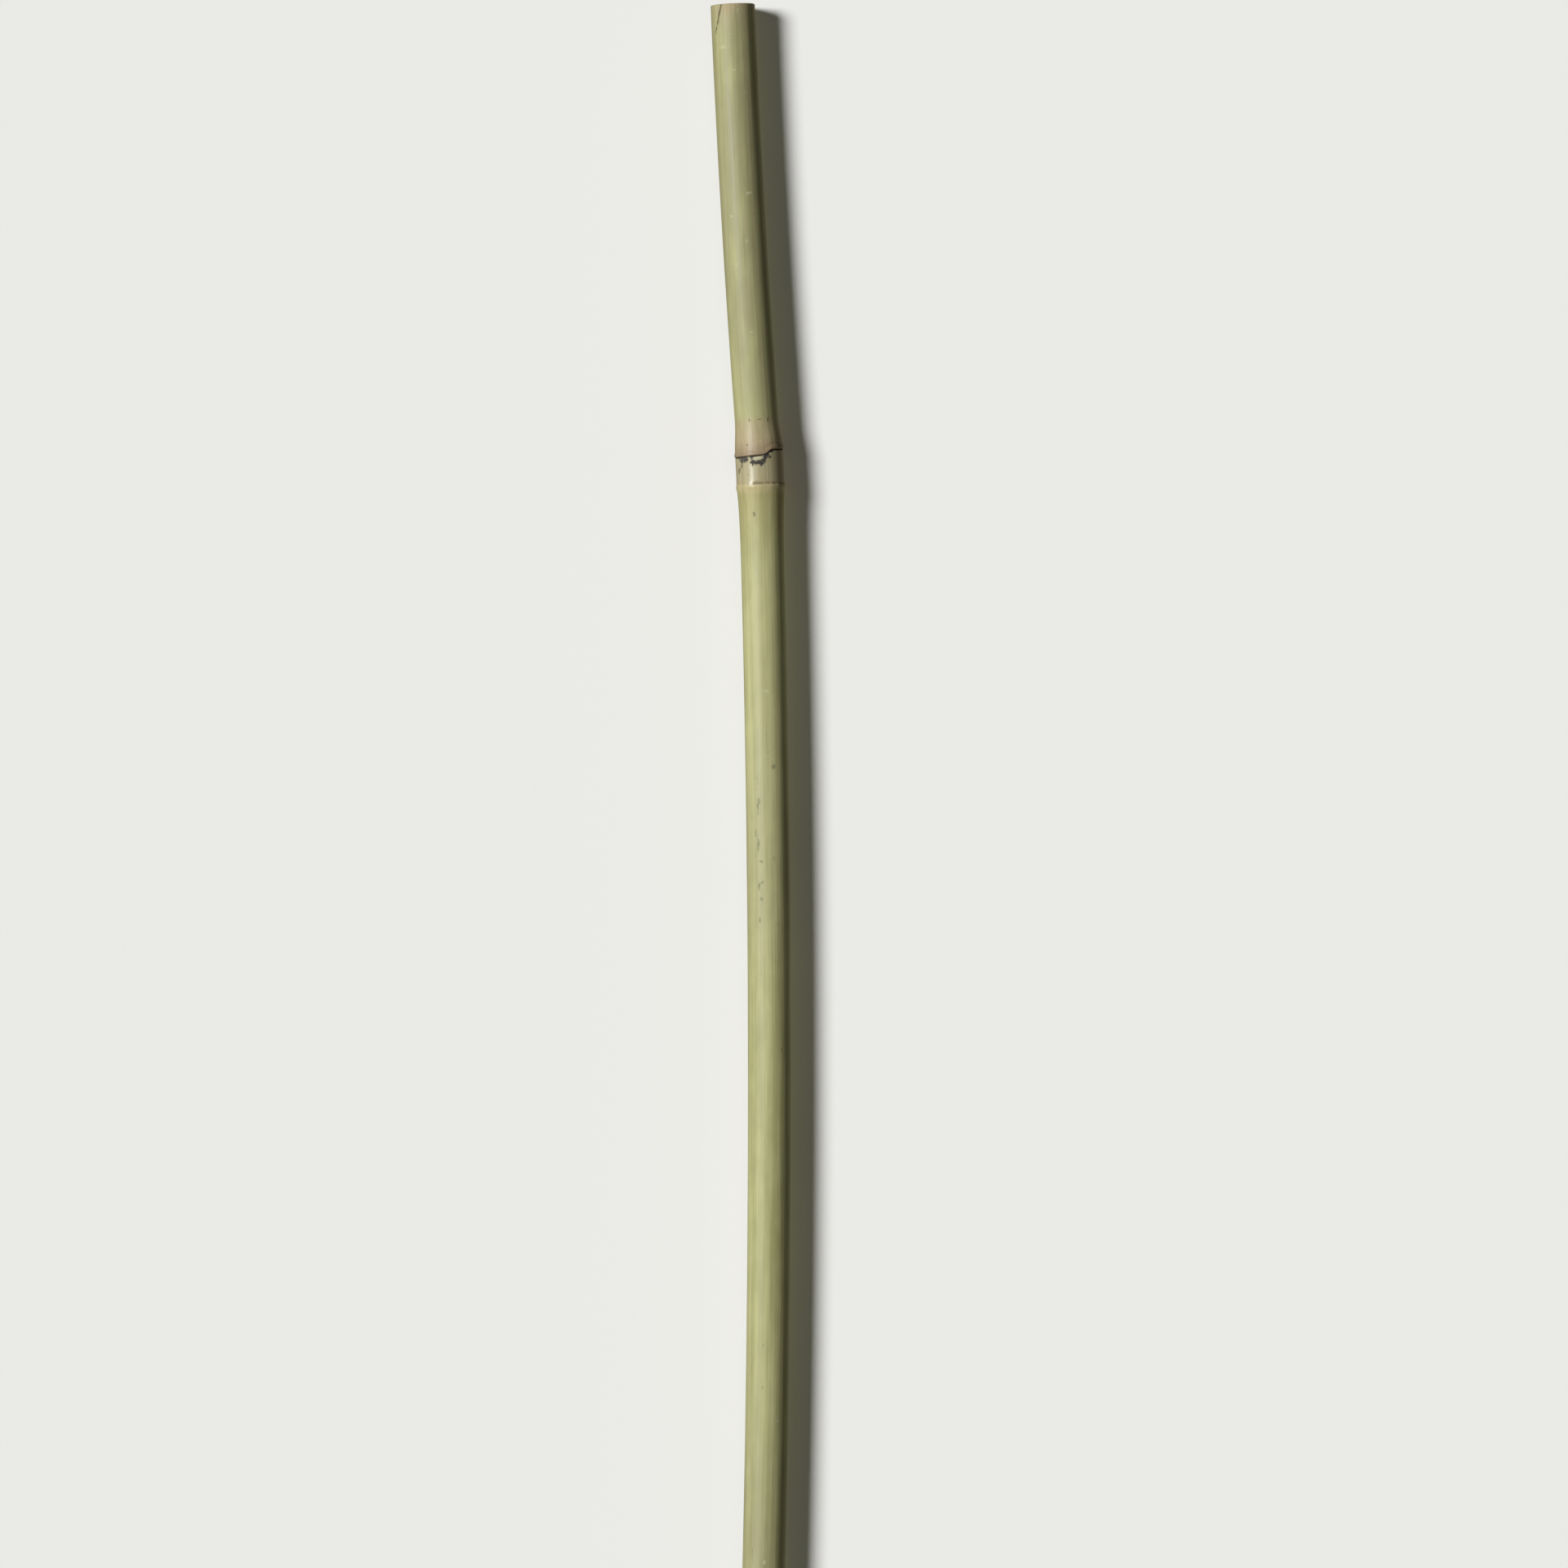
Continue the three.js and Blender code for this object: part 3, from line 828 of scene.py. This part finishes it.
class Wiring:
    """Adds nodes to a node tree and wires them up."""

    def __init__(self, tree):
        self.tree = tree

    def link(self, output, socket):
        self.tree.links.new(output, socket)

    def add(self, kind, inputs=(), **settings):
        """A node with the given settings. Each input is a value, or an output to link."""
        node = self.tree.nodes.new(kind)
        for name, value in settings.items():
            setattr(node, name, value)
        for key, value in dict(inputs).items():
            if isinstance(value, bpy.types.NodeSocket):
                self.link(value, node.inputs[key])
            else:
                node.inputs[key].default_value = value
        return node

    def attribute(self, name, output="Fac"):
        """A point attribute: its Fac is a number, its Vector three."""
        return self.add("ShaderNodeAttribute", attribute_name=name).outputs[output]

    def parts(self, vector):
        return self.add("ShaderNodeSeparateXYZ", {0: vector}).outputs

    def maths(self, operation, *values):
        return self.add("ShaderNodeMath", dict(enumerate(values)), operation=operation).outputs[0]

    def total(self, *values):
        result = values[0]
        for value in values[1:]:
            result = self.maths("ADD", result, value)
        return result

    def product(self, *values):
        result = values[0]
        for value in values[1:]:
            result = self.maths("MULTIPLY", result, value)
        return result

    def weighted(self, *pairs):
        """The sum of values, each times its weight."""
        return self.total(*(self.product(value, weight) for value, weight in pairs))

    def vector_maths(self, operation, first, second):
        inputs = {0: first, 1: second}
        return self.add("ShaderNodeVectorMath", inputs, operation=operation).outputs[0]

    def rise(self, value, low, high, start=0.0, end=1.0, way="SMOOTHSTEP"):
        """start below low and end above high, with a smooth rise between."""
        inputs = {0: value, 1: low, 2: high, 3: start, 4: end}
        return self.add("ShaderNodeMapRange", inputs, interpolation_type=way).outputs[0]

    def slope(self, value, low, high, start=0.0, end=1.0):
        """start below low and end above high, and a straight line between."""
        return self.rise(value, low, high, start, end, way="LINEAR")

    def blend(self, share, first, second, how="MIX"):
        """The second colour laid over the first."""
        inputs = {0: share, 6: first, 7: second}
        return self.add("ShaderNodeMix", inputs, data_type="RGBA", blend_type=how).outputs[2]

    def stretched(self, place, across, along):
        """Places measured in cells that are so many millimetres across and along the cane."""
        return self.vector_maths("MULTIPLY", place, (1 / across, 1 / along, 1 / across))

    def in_cells(self, place, across, along):
        """The same, where the cells' sizes come from sockets."""
        cell = self.add("ShaderNodeCombineXYZ", {0: across, 1: along, 2: across}).outputs[0]
        return self.vector_maths("DIVIDE", place, cell)

    def noise(self, place, detail=2.0, roughness=0.5):
        inputs = {"Vector": place, "Scale": 1.0, "Detail": detail, "Roughness": roughness}
        return self.add("ShaderNodeTexNoise", inputs).outputs[0]

    def ramp(self, value, stops):
        """A colour ramp over millimetres: each stop is a place, a colour and an opacity."""
        low, high = stops[0][0], stops[-1][0]
        node = self.add("ShaderNodeValToRGB", {0: self.slope(value, low, high)})
        elements = node.color_ramp.elements
        while len(elements) < len(stops):
            elements.new(0.5)
        for element, (place, colour, opacity) in zip(elements, stops):
            element.position = (place - low) / (high - low)
            element.color = (*colour[:3], opacity)
        return node.outputs

    def profile(self, value, stops):
        """A number over millimetres: each stop is a place and the number there."""
        return self.ramp(value, [(place, (share,) * 3, 1.0) for place, share in stops])[0]

    def place(self, tree, **inputs):
        """A shader node group in this tree."""
        return self.add("ShaderNodeGroup", inputs, node_tree=tree).outputs


def new_group(name, inputs, outputs):
    """A shader node group with the named inputs, each with its default, and the named outputs."""
    tree = bpy.data.node_groups.new(name, "ShaderNodeTree")
    for socket, kind, default in inputs:
        made = tree.interface.new_socket(socket, in_out="INPUT", socket_type=kind)
        if default is not None:
            made.default_value = default
    for socket in outputs:
        tree.interface.new_socket(socket, in_out="OUTPUT", socket_type="NodeSocketFloat")
    wiring = Wiring(tree)
    return wiring, wiring.add("NodeGroupInput").outputs, wiring.add("NodeGroupOutput").inputs


def fibre_group():
    """Long fibres: noise in cells as wide as a fibre bundle and as long as a fibre, once coarse and
    once three and a half times finer. Inputs are in millimetres."""
    inputs = (
        ("Place", "NodeSocketVector", None),
        ("Width", "NodeSocketFloat", 1.2),
        ("Length", "NodeSocketFloat", 45.0),
    )
    w, given, out = new_group("Fibres", inputs, ("Streaks", "Hairs"))
    coarse = w.in_cells(given["Place"], given["Width"], given["Length"])
    fine = w.vector_maths("MULTIPLY", coarse, (3.5, 1.7, 3.5))
    w.link(w.rise(w.noise(coarse, 2.0, 0.6), 0.3, 0.7), out["Streaks"])
    w.link(w.rise(w.noise(fine, 1.0, 0.5), 0.3, 0.7), out["Hairs"])
    return w.tree


def spot_group():
    """Scattered spots: one at the heart of some cells of a Voronoi pattern. Share is how many cells
    have one, Size its radius as a part of a cell."""
    inputs = (
        ("Place", "NodeSocketVector", None),
        ("Across", "NodeSocketFloat", 3.0),
        ("Along", "NodeSocketFloat", 3.0),
        ("Share", "NodeSocketFloat", 0.3),
        ("Size", "NodeSocketFloat", 0.2),
    )
    w, given, out = new_group("Scattered Spots", inputs, ("Spots",))
    scaled = w.in_cells(given["Place"], given["Across"], given["Along"])
    cells = w.add("ShaderNodeTexVoronoi", {"Vector": scaled, "Scale": 1.0}).outputs
    chance = w.add("ShaderNodeSeparateColor", {0: cells["Color"]}).outputs
    wanted = w.maths("LESS_THAN", chance[0], given["Share"])
    size = w.product(given["Size"], w.slope(chance[1], 0.0, 1.0, 0.5, 1.0))
    depth = w.maths("DIVIDE", w.maths("SUBTRACT", size, cells["Distance"]), size)
    w.link(w.product(wanted, w.rise(depth, 0.0, 0.45)), out["Spots"])
    return w.tree


def ragged_group():
    """Turns a soft field into a mask with a ragged edge: noise is added, and a threshold taken."""
    inputs = (
        ("Field", "NodeSocketFloat", 0.0),
        ("Place", "NodeSocketVector", None),
        ("Grain", "NodeSocketFloat", 0.5),
        ("Raggedness", "NodeSocketFloat", 0.8),
    )
    w, given, out = new_group("Ragged Mask", inputs, ("Mask",))
    scaled = w.in_cells(given["Place"], given["Grain"], w.product(given["Grain"], 1.6))
    wander = w.product(w.maths("SUBTRACT", w.noise(scaled, 3.0, 0.6), 0.5), given["Raggedness"])
    w.link(w.rise(w.total(given["Field"], wander), 0.22, 0.85), out["Mask"])
    return w.tree


def new_material(name):
    """A material with a Principled BSDF, and the wiring and the shader's inputs."""
    material = bpy.data.materials.new(name)
    material.use_nodes = True
    w = Wiring(material.node_tree)
    return material, w, w.tree.nodes["Principled BSDF"].inputs


def finish_material(w, shader, colour, roughness, relief):
    """Feeds the shader: the relief is in millimetres."""
    bump = w.add("ShaderNodeBump", {"Strength": 1.0, "Distance": MM, "Height": relief})
    w.link(colour, shader["Base Color"])
    w.link(roughness, shader["Roughness"])
    w.link(bump.outputs[0], shader["Normal"])


def distance_past_scar(w, course):
    """Distance past the nearest scar, from the course along the cane: the scar that counts changes
    midway between two scars."""
    past = w.maths("SUBTRACT", course, SCARS[0])
    for scar, following in zip(SCARS, SCARS[1:]):
        beyond = w.maths("GREATER_THAN", course, (scar + following) / 2)
        past = w.maths("SUBTRACT", past, w.product(beyond, following - scar))
    return past


def skin_colour(w, finish, place, past, threads):
    """The skin's colour without its marks. It ripens from green to straw in long drifts under a
    veil of grey, wax near the butt and duller stretches further along, turns tan before each scar
    and by the cuts, and is cream from scar to ridge.
    Returns the colour and the tan skin's mask."""
    along = w.parts(place)[1]
    streaks, hairs = threads["Streaks"], threads["Hairs"]
    drift = w.noise(w.stretched(place, 7, 130), 2.0)
    blotches = w.noise(w.stretched(place, 3.4, 8), 3.0, 0.55)
    patches = w.noise(w.stretched(place, 5.5, 22), 2.0, 0.5)

    ripe = w.total(
        w.profile(along, RIPENESS),
        w.slope(drift, 0.3, 0.7, -0.28, 0.28),
        w.slope(streaks, 0.0, 1.0, -0.22, 0.22),
        w.slope(blotches, 0.3, 0.7, -0.22, 0.22),
    )
    colour = w.blend(w.slope(ripe, 0.0, 1.0), (*finish.green, 1), (*finish.straw, 1))
    greying = w.product(w.profile(along, GREYING), w.rise(patches, 0.34, 0.62, 0.55, 1.15))
    colour = w.blend(greying, colour, (*finish.grey, 1))

    # The tan skin before the scar starts at a jagged edge that follows the fibres.
    jagged = w.total(past, w.product(w.maths("SUBTRACT", hairs, 0.5), 1.2), w.product(streaks, 0.8))
    tan = w.product(
        w.rise(jagged, TAN_START - 0.4, TAN_START + 0.9),
        w.rise(past, -0.1, 0.0, 1, 0),
        w.rise(past, TAN_START, -2.0, 0.6, 1.0),
    )
    tan_colour = w.blend(w.rise(past, -4.5, 0.5), (*finish.tan, 1), (*finish.lip, 1))
    colour = w.blend(tan, colour, tan_colour)
    dried = w.maths(
        "MAXIMUM",
        w.rise(along, 0.0, DRIED_REACH, 0.5, 0),
        w.rise(along, LENGTH - DRIED_REACH, LENGTH, 0, 0.5),
    )
    colour = w.blend(dried, colour, (*finish.tan, 1))

    zones = w.ramp(
        past,
        (
            (-1.1, finish.lip, 0.0), (-0.8, finish.lip, 0.85), (-0.1, finish.lip, 1.0),
            (0.25, finish.band, 1.0), (6.5, finish.band, 0.95), (8.6, finish.tan, 0.9),
            (8.85, finish.ridge, 1.0), (10.3, finish.ridge, 0.85), (11.6, finish.fade, 0.7),
            (17.0, finish.fade, 0.45), (30.0, finish.fade, 0.0),
        ),
    )
    colour = w.blend(zones[1], colour, zones[0])
    shade = w.total(
        w.slope(streaks, 0.0, 1.0, 0.905, 1.05),
        w.slope(hairs, 0.0, 1.0, -0.045, 0.03),
        w.slope(blotches, 0.3, 0.7, -0.03, 0.025),
        w.slope(patches, 0.3, 0.7, -0.03, 0.025),
    )
    return w.blend(1.0, colour, shade, "MULTIPLY"), tan


def skin_material(finish, fibres, spots, ragged):
    """The culm's skin: its colour, the marks over that, bare wood where it is torn, and a gloss
    that is strongest on the bands."""
    material, w, shader = new_material("bamboo_skin")
    place = w.attribute("straight", "Vector")
    past = distance_past_scar(w, w.attribute("course"))
    mould_field, bruise_field, scuff_field = w.parts(w.attribute("stains", "Vector"))[:3]
    torn_field, split, nick_and_highlight_field = w.parts(w.attribute("bare", "Vector"))[:3]
    threads = w.place(fibres, Place=place, Width=1.3, Length=60.0)
    streaks, hairs = threads["Streaks"], threads["Hairs"]
    colour, tan = skin_colour(w, finish, place, past, threads)

    def mask(field, grain, raggedness):
        return w.place(ragged, Field=field, Place=place, Grain=grain, Raggedness=raggedness)["Mask"]

    def scattered(across, along, share, size):
        sizes = {"Across": across, "Along": along, "Share": share, "Size": size}
        return w.place(spots, Place=place, **sizes)["Spots"]

    uneven = w.noise(w.stretched(place, 1.6, 30), 2.0)
    # Partly dirt and partly painted shade: a dark band just past each scar, under the lip, and a dark
    # line along the groove.
    under_lip = w.product(
        w.rise(past, 0.0, 0.12), w.rise(past, 0.42, 0.75, 1, 0), w.rise(uneven, 0.25, 0.5, 0.45, 1)
    )
    in_groove = w.product(
        w.rise(w.attribute("groove"), 0.1, 0.95), w.rise(uneven, 0.35, 0.65, 0.12, 0.55)
    )
    dirt_and_shade = w.maths("MAXIMUM", under_lip, in_groove)
    mottle = w.rise(w.noise(w.stretched(place, 0.5, 0.6), 2.0, 0.6), 0.34, 0.56, 0.8, 1.0)
    mould = w.product(mask(mould_field, 0.55, 0.7), w.rise(past, 0.0, 0.2), mottle)
    bloom = w.rise(w.noise(w.stretched(place, 0.6, 1.2), 3.0), 0.3, 0.6)
    veil = w.product(w.rise(mould_field, 0.0, 0.8), bloom, w.rise(past, 0.0, 0.3))
    bruise = mask(bruise_field, 0.3, 0.6)
    rubbed = w.rise(w.noise(w.stretched(place, 0.3, 1.3), 2.0, 0.6), 0.32, 0.6, 0.3, 1.0)
    scuff = w.product(mask(scuff_field, 0.45, 0.75), rubbed)
    # Pale nicks, and two painted highlights by the first joint.
    nick_and_highlight = mask(nick_and_highlight_field, 0.7, 0.5)
    dashes = scattered(6.5, 2.6, 0.1, 0.14)
    pale = w.maths("MAXIMUM", w.product(dashes, 0.4), w.product(nick_and_highlight, 0.5))
    grain = w.place(fibres, Place=place, Width=0.5, Length=5.0)
    wood = w.blend(grain["Streaks"], (*finish.wood, 1), (*finish.tan, 1))
    wood = w.blend(1.0, wood, w.rise(grain["Hairs"], 0, 1, 0.93, 1.03), "MULTIPLY")
    bare = w.maths("MAXIMUM", mask(torn_field, 0.5, 0.6), w.attribute("cut"))
    # From the lowest layer up: mask, opacity, colour.
    for layer, opacity, tint in (
        # Painted shade with some dirt, under the lips and along the grooves.
        (dirt_and_shade, 1.0, (*finish.crevice, 1)),
        (veil, 0.4, (*finish.mould, 1)),
        (scuff, 0.66, (*finish.scuff, 1)),
        # Pale dashes and nicks, and two painted highlights by the first joint.
        (pale, 1.0, (*finish.nick_and_highlight, 1)),
        (scattered(3.0, 5.0, 0.16, 0.13), 0.35, (*finish.bruise, 1)),
        (bruise, 0.6, (*finish.bruise, 1)),
        (mould, 0.93, (*finish.mould, 1)),
        (bare, 0.55, wood),
        # Painted shade inside the butt's split, in the crevice colour.
        (w.rise(split, 0.1, 0.8), 0.74, (*finish.crevice, 1)),
    ):
        colour = w.blend(w.product(layer, opacity), colour, tint)

    glossy = w.product(
        w.rise(past, 0.8, 4.5, 0.3, 1),
        w.rise(past, 8.2, 9.5, 1, 0.3),
        w.rise(past, 9.5, 12.0, 1, 0),
        w.rise(past, 0.2, 0.5),
        w.rise(mould, 0.0, 0.5, 1, 0),
    )
    roughness = w.total(
        w.slope(streaks, 0, 1, 0.42, 0.55),
        w.weighted(
            (glossy, -0.14),
            (tan, -0.12),
            (split, 0.4),
            (w.maths("MAXIMUM", mould, dirt_and_shade), 0.3),
            (w.maths("MAXIMUM", scuff, bruise), 0.15),
            (bare, 0.35),
        ),
    )
    relief = w.weighted(
        (hairs, 0.009),
        (streaks, 0.018),
        (mould, 0.02),
        (nick_and_highlight, 0.01),
        (scuff, -0.015),
        (bruise, -0.02),
        (w.product(bare, grain["Hairs"]), 0.025),
    )
    w.link(w.product(glossy, COAT), shader["Coat Weight"])
    shader["Coat Roughness"].default_value = COAT_ROUGHNESS
    shader["Specular IOR Level"].default_value = SKIN_SPECULAR
    finish_material(w, shader, colour, roughness, relief)
    return material


def cut_wood_material(finish, fibres):
    """Sawn bamboo: pale wood full of the brown ends of fibre bundles, small and close together
    under the skin, larger and sparser inwards, with the saw's scratches across it."""
    material, w, shader = new_material("cut_bamboo")
    place = w.attribute("straight", "Vector")
    x, _, z = w.parts(place)[:3]
    radius = w.maths("SQRT", w.total(w.product(x, x), w.product(z, z)))
    flat = w.add("ShaderNodeCombineXYZ", {0: x, 1: z}).outputs[0]

    def bundle_ends(spacing, size):
        inputs = {"Vector": flat, "Scale": 1 / spacing, "Randomness": 0.75}
        cells = w.add("ShaderNodeTexVoronoi", inputs, voronoi_dimensions="2D")
        return w.rise(cells.outputs["Distance"], size * 0.55, size, 1, 0)

    outer = w.product(bundle_ends(0.34, 0.36), w.rise(radius, *DENSE_WOOD))
    inner = w.product(bundle_ends(0.62, 0.3), w.rise(radius, *DENSE_WOOD, 1, 0))
    ends = w.maths("MAXIMUM", outer, inner)
    grain = w.place(fibres, Place=flat, Width=0.9, Length=1.0)
    colour = w.blend(grain["Streaks"], (*finish.wood, 1), (*finish.tan, 1))
    colour = w.blend(w.product(ends, 0.7), colour, (*finish.bundle, 1))
    colour = w.blend(w.rise(radius, *GREEN_EDGE, 0, 0.55), colour, (*finish.green, 1))
    scratches = w.noise(w.vector_maths("MULTIPLY", flat, (0.35, 4.5, 1)), 2.0)
    colour = w.blend(1.0, colour, w.rise(scratches, 0.3, 0.7, 0.93, 1.03), "MULTIPLY")
    relief = w.weighted((scratches, 0.025), (ends, 0.02))
    roughness = w.rise(scratches, 0.3, 0.7, 0.72, 0.85)
    finish_material(w, shader, colour, roughness, relief)
    return material


def pith_material(finish, fibres, spots):
    """The hollows' lining: silky pale pith with long fibres and a few brown flecks."""
    material, w, shader = new_material("pith_lining")
    place = w.attribute("straight", "Vector")
    grain = w.place(fibres, Place=place, Width=0.7, Length=14.0)
    flecks = w.place(spots, Place=place, Across=1.4, Along=3.0, Share=0.25, Size=0.25)["Spots"]
    colour = w.blend(grain["Streaks"], (*finish.pith, 1), (*finish.wood, 1))
    colour = w.blend(w.product(flecks, 0.5), colour, (*finish.bundle, 1))
    relief = w.weighted((grain["Hairs"], 0.03), (grain["Streaks"], 0.03))
    finish_material(w, shader, colour, w.rise(grain["Hairs"], 0, 1, 0.62, 0.78), relief)
    return material


# ---------------------------------------------------------------- operators


class CANE_OT_grow_culm(bpy.types.Operator):
    """Build the culm with its joints, scars, buds, marks and sawn ends"""

    bl_idname = "cane.grow_culm"
    bl_label = "Grow the culm"

    def execute(self, context):
        finish = context.scene.cane_finish
        mesh = culm_mesh(context.scene.cane_culm)
        fibres, spots, ragged = fibre_group(), spot_group(), ragged_group()
        mesh.materials.append(skin_material(finish, fibres, spots, ragged))
        mesh.materials.append(cut_wood_material(finish, fibres))
        mesh.materials.append(pith_material(finish, fibres, spots))
        culm = bpy.data.objects.new("culm", mesh)
        context.scene.collection.objects.link(culm)
        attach(culm, BODY)
        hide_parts(NODE)
        return {"FINISHED"}


class CANE_OT_set_stage(bpy.types.Operator):
    """Lay the ground, light it softly from the left and hang the camera over the cane"""

    bl_idname = "cane.set_stage"
    bl_label = "Set the stage"

    def execute(self, context):
        scene, stage = context.scene, context.scene.cane_stage
        self.lay_ground(scene, stage)
        self.light(scene, stage)
        self.hang_camera(scene, stage)
        scene.view_settings.view_transform = "Standard"
        return {"FINISHED"}

    def lay_ground(self, scene, stage):
        """A large square of plain pale ground at the lowest point of the cane. It throws no light
        back up, because the fill stands in for that, and it lets the fill through."""
        reach, level = GROUND_REACH, CAD_BOX[0].z
        corners = [(x, y, level) for x, y in ((-1, -1), (1, -1), (1, 1), (-1, 1))]
        mesh = bpy.data.meshes.new("ground")
        mesh.from_pydata([(x * reach, y * reach, z) for x, y, z in corners], [], [(0, 1, 2, 3)])
        material, _, shader = new_material("pale_ground")
        shader["Base Color"].default_value = (*stage.ground, 1)
        shader["Roughness"].default_value = GROUND_ROUGHNESS
        shader["Specular IOR Level"].default_value = 0.0
        mesh.materials.append(material)
        ground = bpy.data.objects.new("ground", mesh)
        scene.collection.objects.link(ground)
        ground.visible_diffuse = False
        ground.visible_glossy = False
        ground.visible_shadow = False

    def light(self, scene, stage):
        """One wide sun from -X, turned a little towards the butt, a weaker one from below on the
        other side, turned towards the tip, for the light that pale ground gives back, and a weak
        even sky. Light given back by matt ground makes no highlight."""
        key_side = math.pi - stage.light_turn
        fill_side = -math.radians(FILL_TURN)
        self.hang_sun(scene, "key", key_side, stage.light_height, stage.light_strength)
        fill_height = math.radians(FILL_HEIGHT)
        fill = self.hang_sun(scene, "fill", fill_side, fill_height, stage.fill_strength)
        fill.visible_glossy = False
        scene.world = self.sky(stage)

    def hang_sun(self, scene, name, side, height, strength):
        """A soft sun whose light comes from a side, an angle from +X towards +Y, and a height."""
        lamp = bpy.data.lights.new(name, "SUN")
        lamp.energy, lamp.angle = strength, scene.cane_stage.light_width
        sun = bpy.data.objects.new(name, lamp)
        sun.rotation_mode = "QUATERNION"
        level = math.cos(height)
        towards = (level * math.cos(side), level * math.sin(side), math.sin(height))
        sun.rotation_quaternion = Vector(towards).to_track_quat("Z", "Y")
        scene.collection.objects.link(sun)
        return sun

    def sky(self, stage):
        """Weak light from all round. Seen past the ground's edge it is as pale as the ground, whose
        brightness is its colour times the key's share that falls on it, over pi, plus the sky's."""
        world = bpy.data.worlds.new("sky")
        world.use_nodes = True
        w = Wiring(world.node_tree)
        background = world.node_tree.nodes["Background"].inputs
        key = stage.light_strength * math.sin(stage.light_height) / math.pi
        glow = [tint * stage.sky_strength for tint in stage.sky]
        backdrop = [shade * (key + light) for shade, light in zip(stage.ground, glow)]
        seen = w.add("ShaderNodeLightPath").outputs["Is Camera Ray"]
        w.link(w.blend(seen, (*glow, 1), (*backdrop, 1)), background["Color"])
        return world

    def hang_camera(self, scene, stage):
        """Straight over the cane's butt half, looking down with the butt at the top. The field fixes
        the lens: half the sensor is to the lens as half the field is to the distance."""
        low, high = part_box(NODE)
        axis_height = (low.z + high.z) / 2
        lens_data = bpy.data.cameras.new("camera")
        lens_data.sensor_width = SENSOR
        distance = stage.camera_height - axis_height
        lens_data.lens = SENSOR * distance / stage.field
        lens_data.clip_end = 100
        camera = bpy.data.objects.new("camera", lens_data)
        butt = butt_centre()
        across, along = butt.x + stage.aim_across, butt.y + stage.aim_along
        camera.location = (across, along, low.z + stage.camera_height)
        camera.rotation_euler.z = stage.camera_turn
        scene.collection.objects.link(camera)
        scene.camera = camera


def butt_centre():
    """The middle of the butt's face, as the solid's own record gives it: its mount lies on that
    face, straight above the middle."""
    mount = next(m for m in frame["record"]["mounts"] if m["name"] == "butt_end")
    return Vector(mount["pos_m"])


class CANE_PT_panel(bpy.types.Panel):
    """Sizes and colours, and the buttons that build the cane"""

    bl_idname = "CANE_PT_panel"
    bl_label = "Bamboo cane"
    bl_space_type = "VIEW_3D"
    bl_region_type = "UI"
    bl_category = "Cane"

    def draw(self, context):
        scene = context.scene
        for title, group, operator in (
            ("Culm", scene.cane_culm, CANE_OT_grow_culm),
            ("Finish", scene.cane_finish, None),
            ("Stage", scene.cane_stage, CANE_OT_set_stage),
        ):
            box = self.layout.box()
            box.label(text=title)
            for name in type(group).__annotations__:
                box.prop(group, name)
            if operator:
                box.operator(operator.bl_idname)


CLASSES = (
    CulmSettings,
    FinishSettings,
    StageSettings,
    CANE_OT_grow_culm,
    CANE_OT_set_stage,
    CANE_PT_panel,
)


def register():
    for cls in CLASSES:
        bpy.utils.register_class(cls)
    bpy.types.Scene.cane_culm = PointerProperty(type=CulmSettings)
    bpy.types.Scene.cane_finish = PointerProperty(type=FinishSettings)
    bpy.types.Scene.cane_stage = PointerProperty(type=StageSettings)


def unregister():
    for name in ("cane_stage", "cane_finish", "cane_culm"):
        delattr(bpy.types.Scene, name)
    for cls in reversed(CLASSES):
        bpy.utils.unregister_class(cls)


def main():
    register()
    bpy.ops.cane.grow_culm()
    bpy.ops.cane.set_stage()


if __name__ == "__main__":
    main()
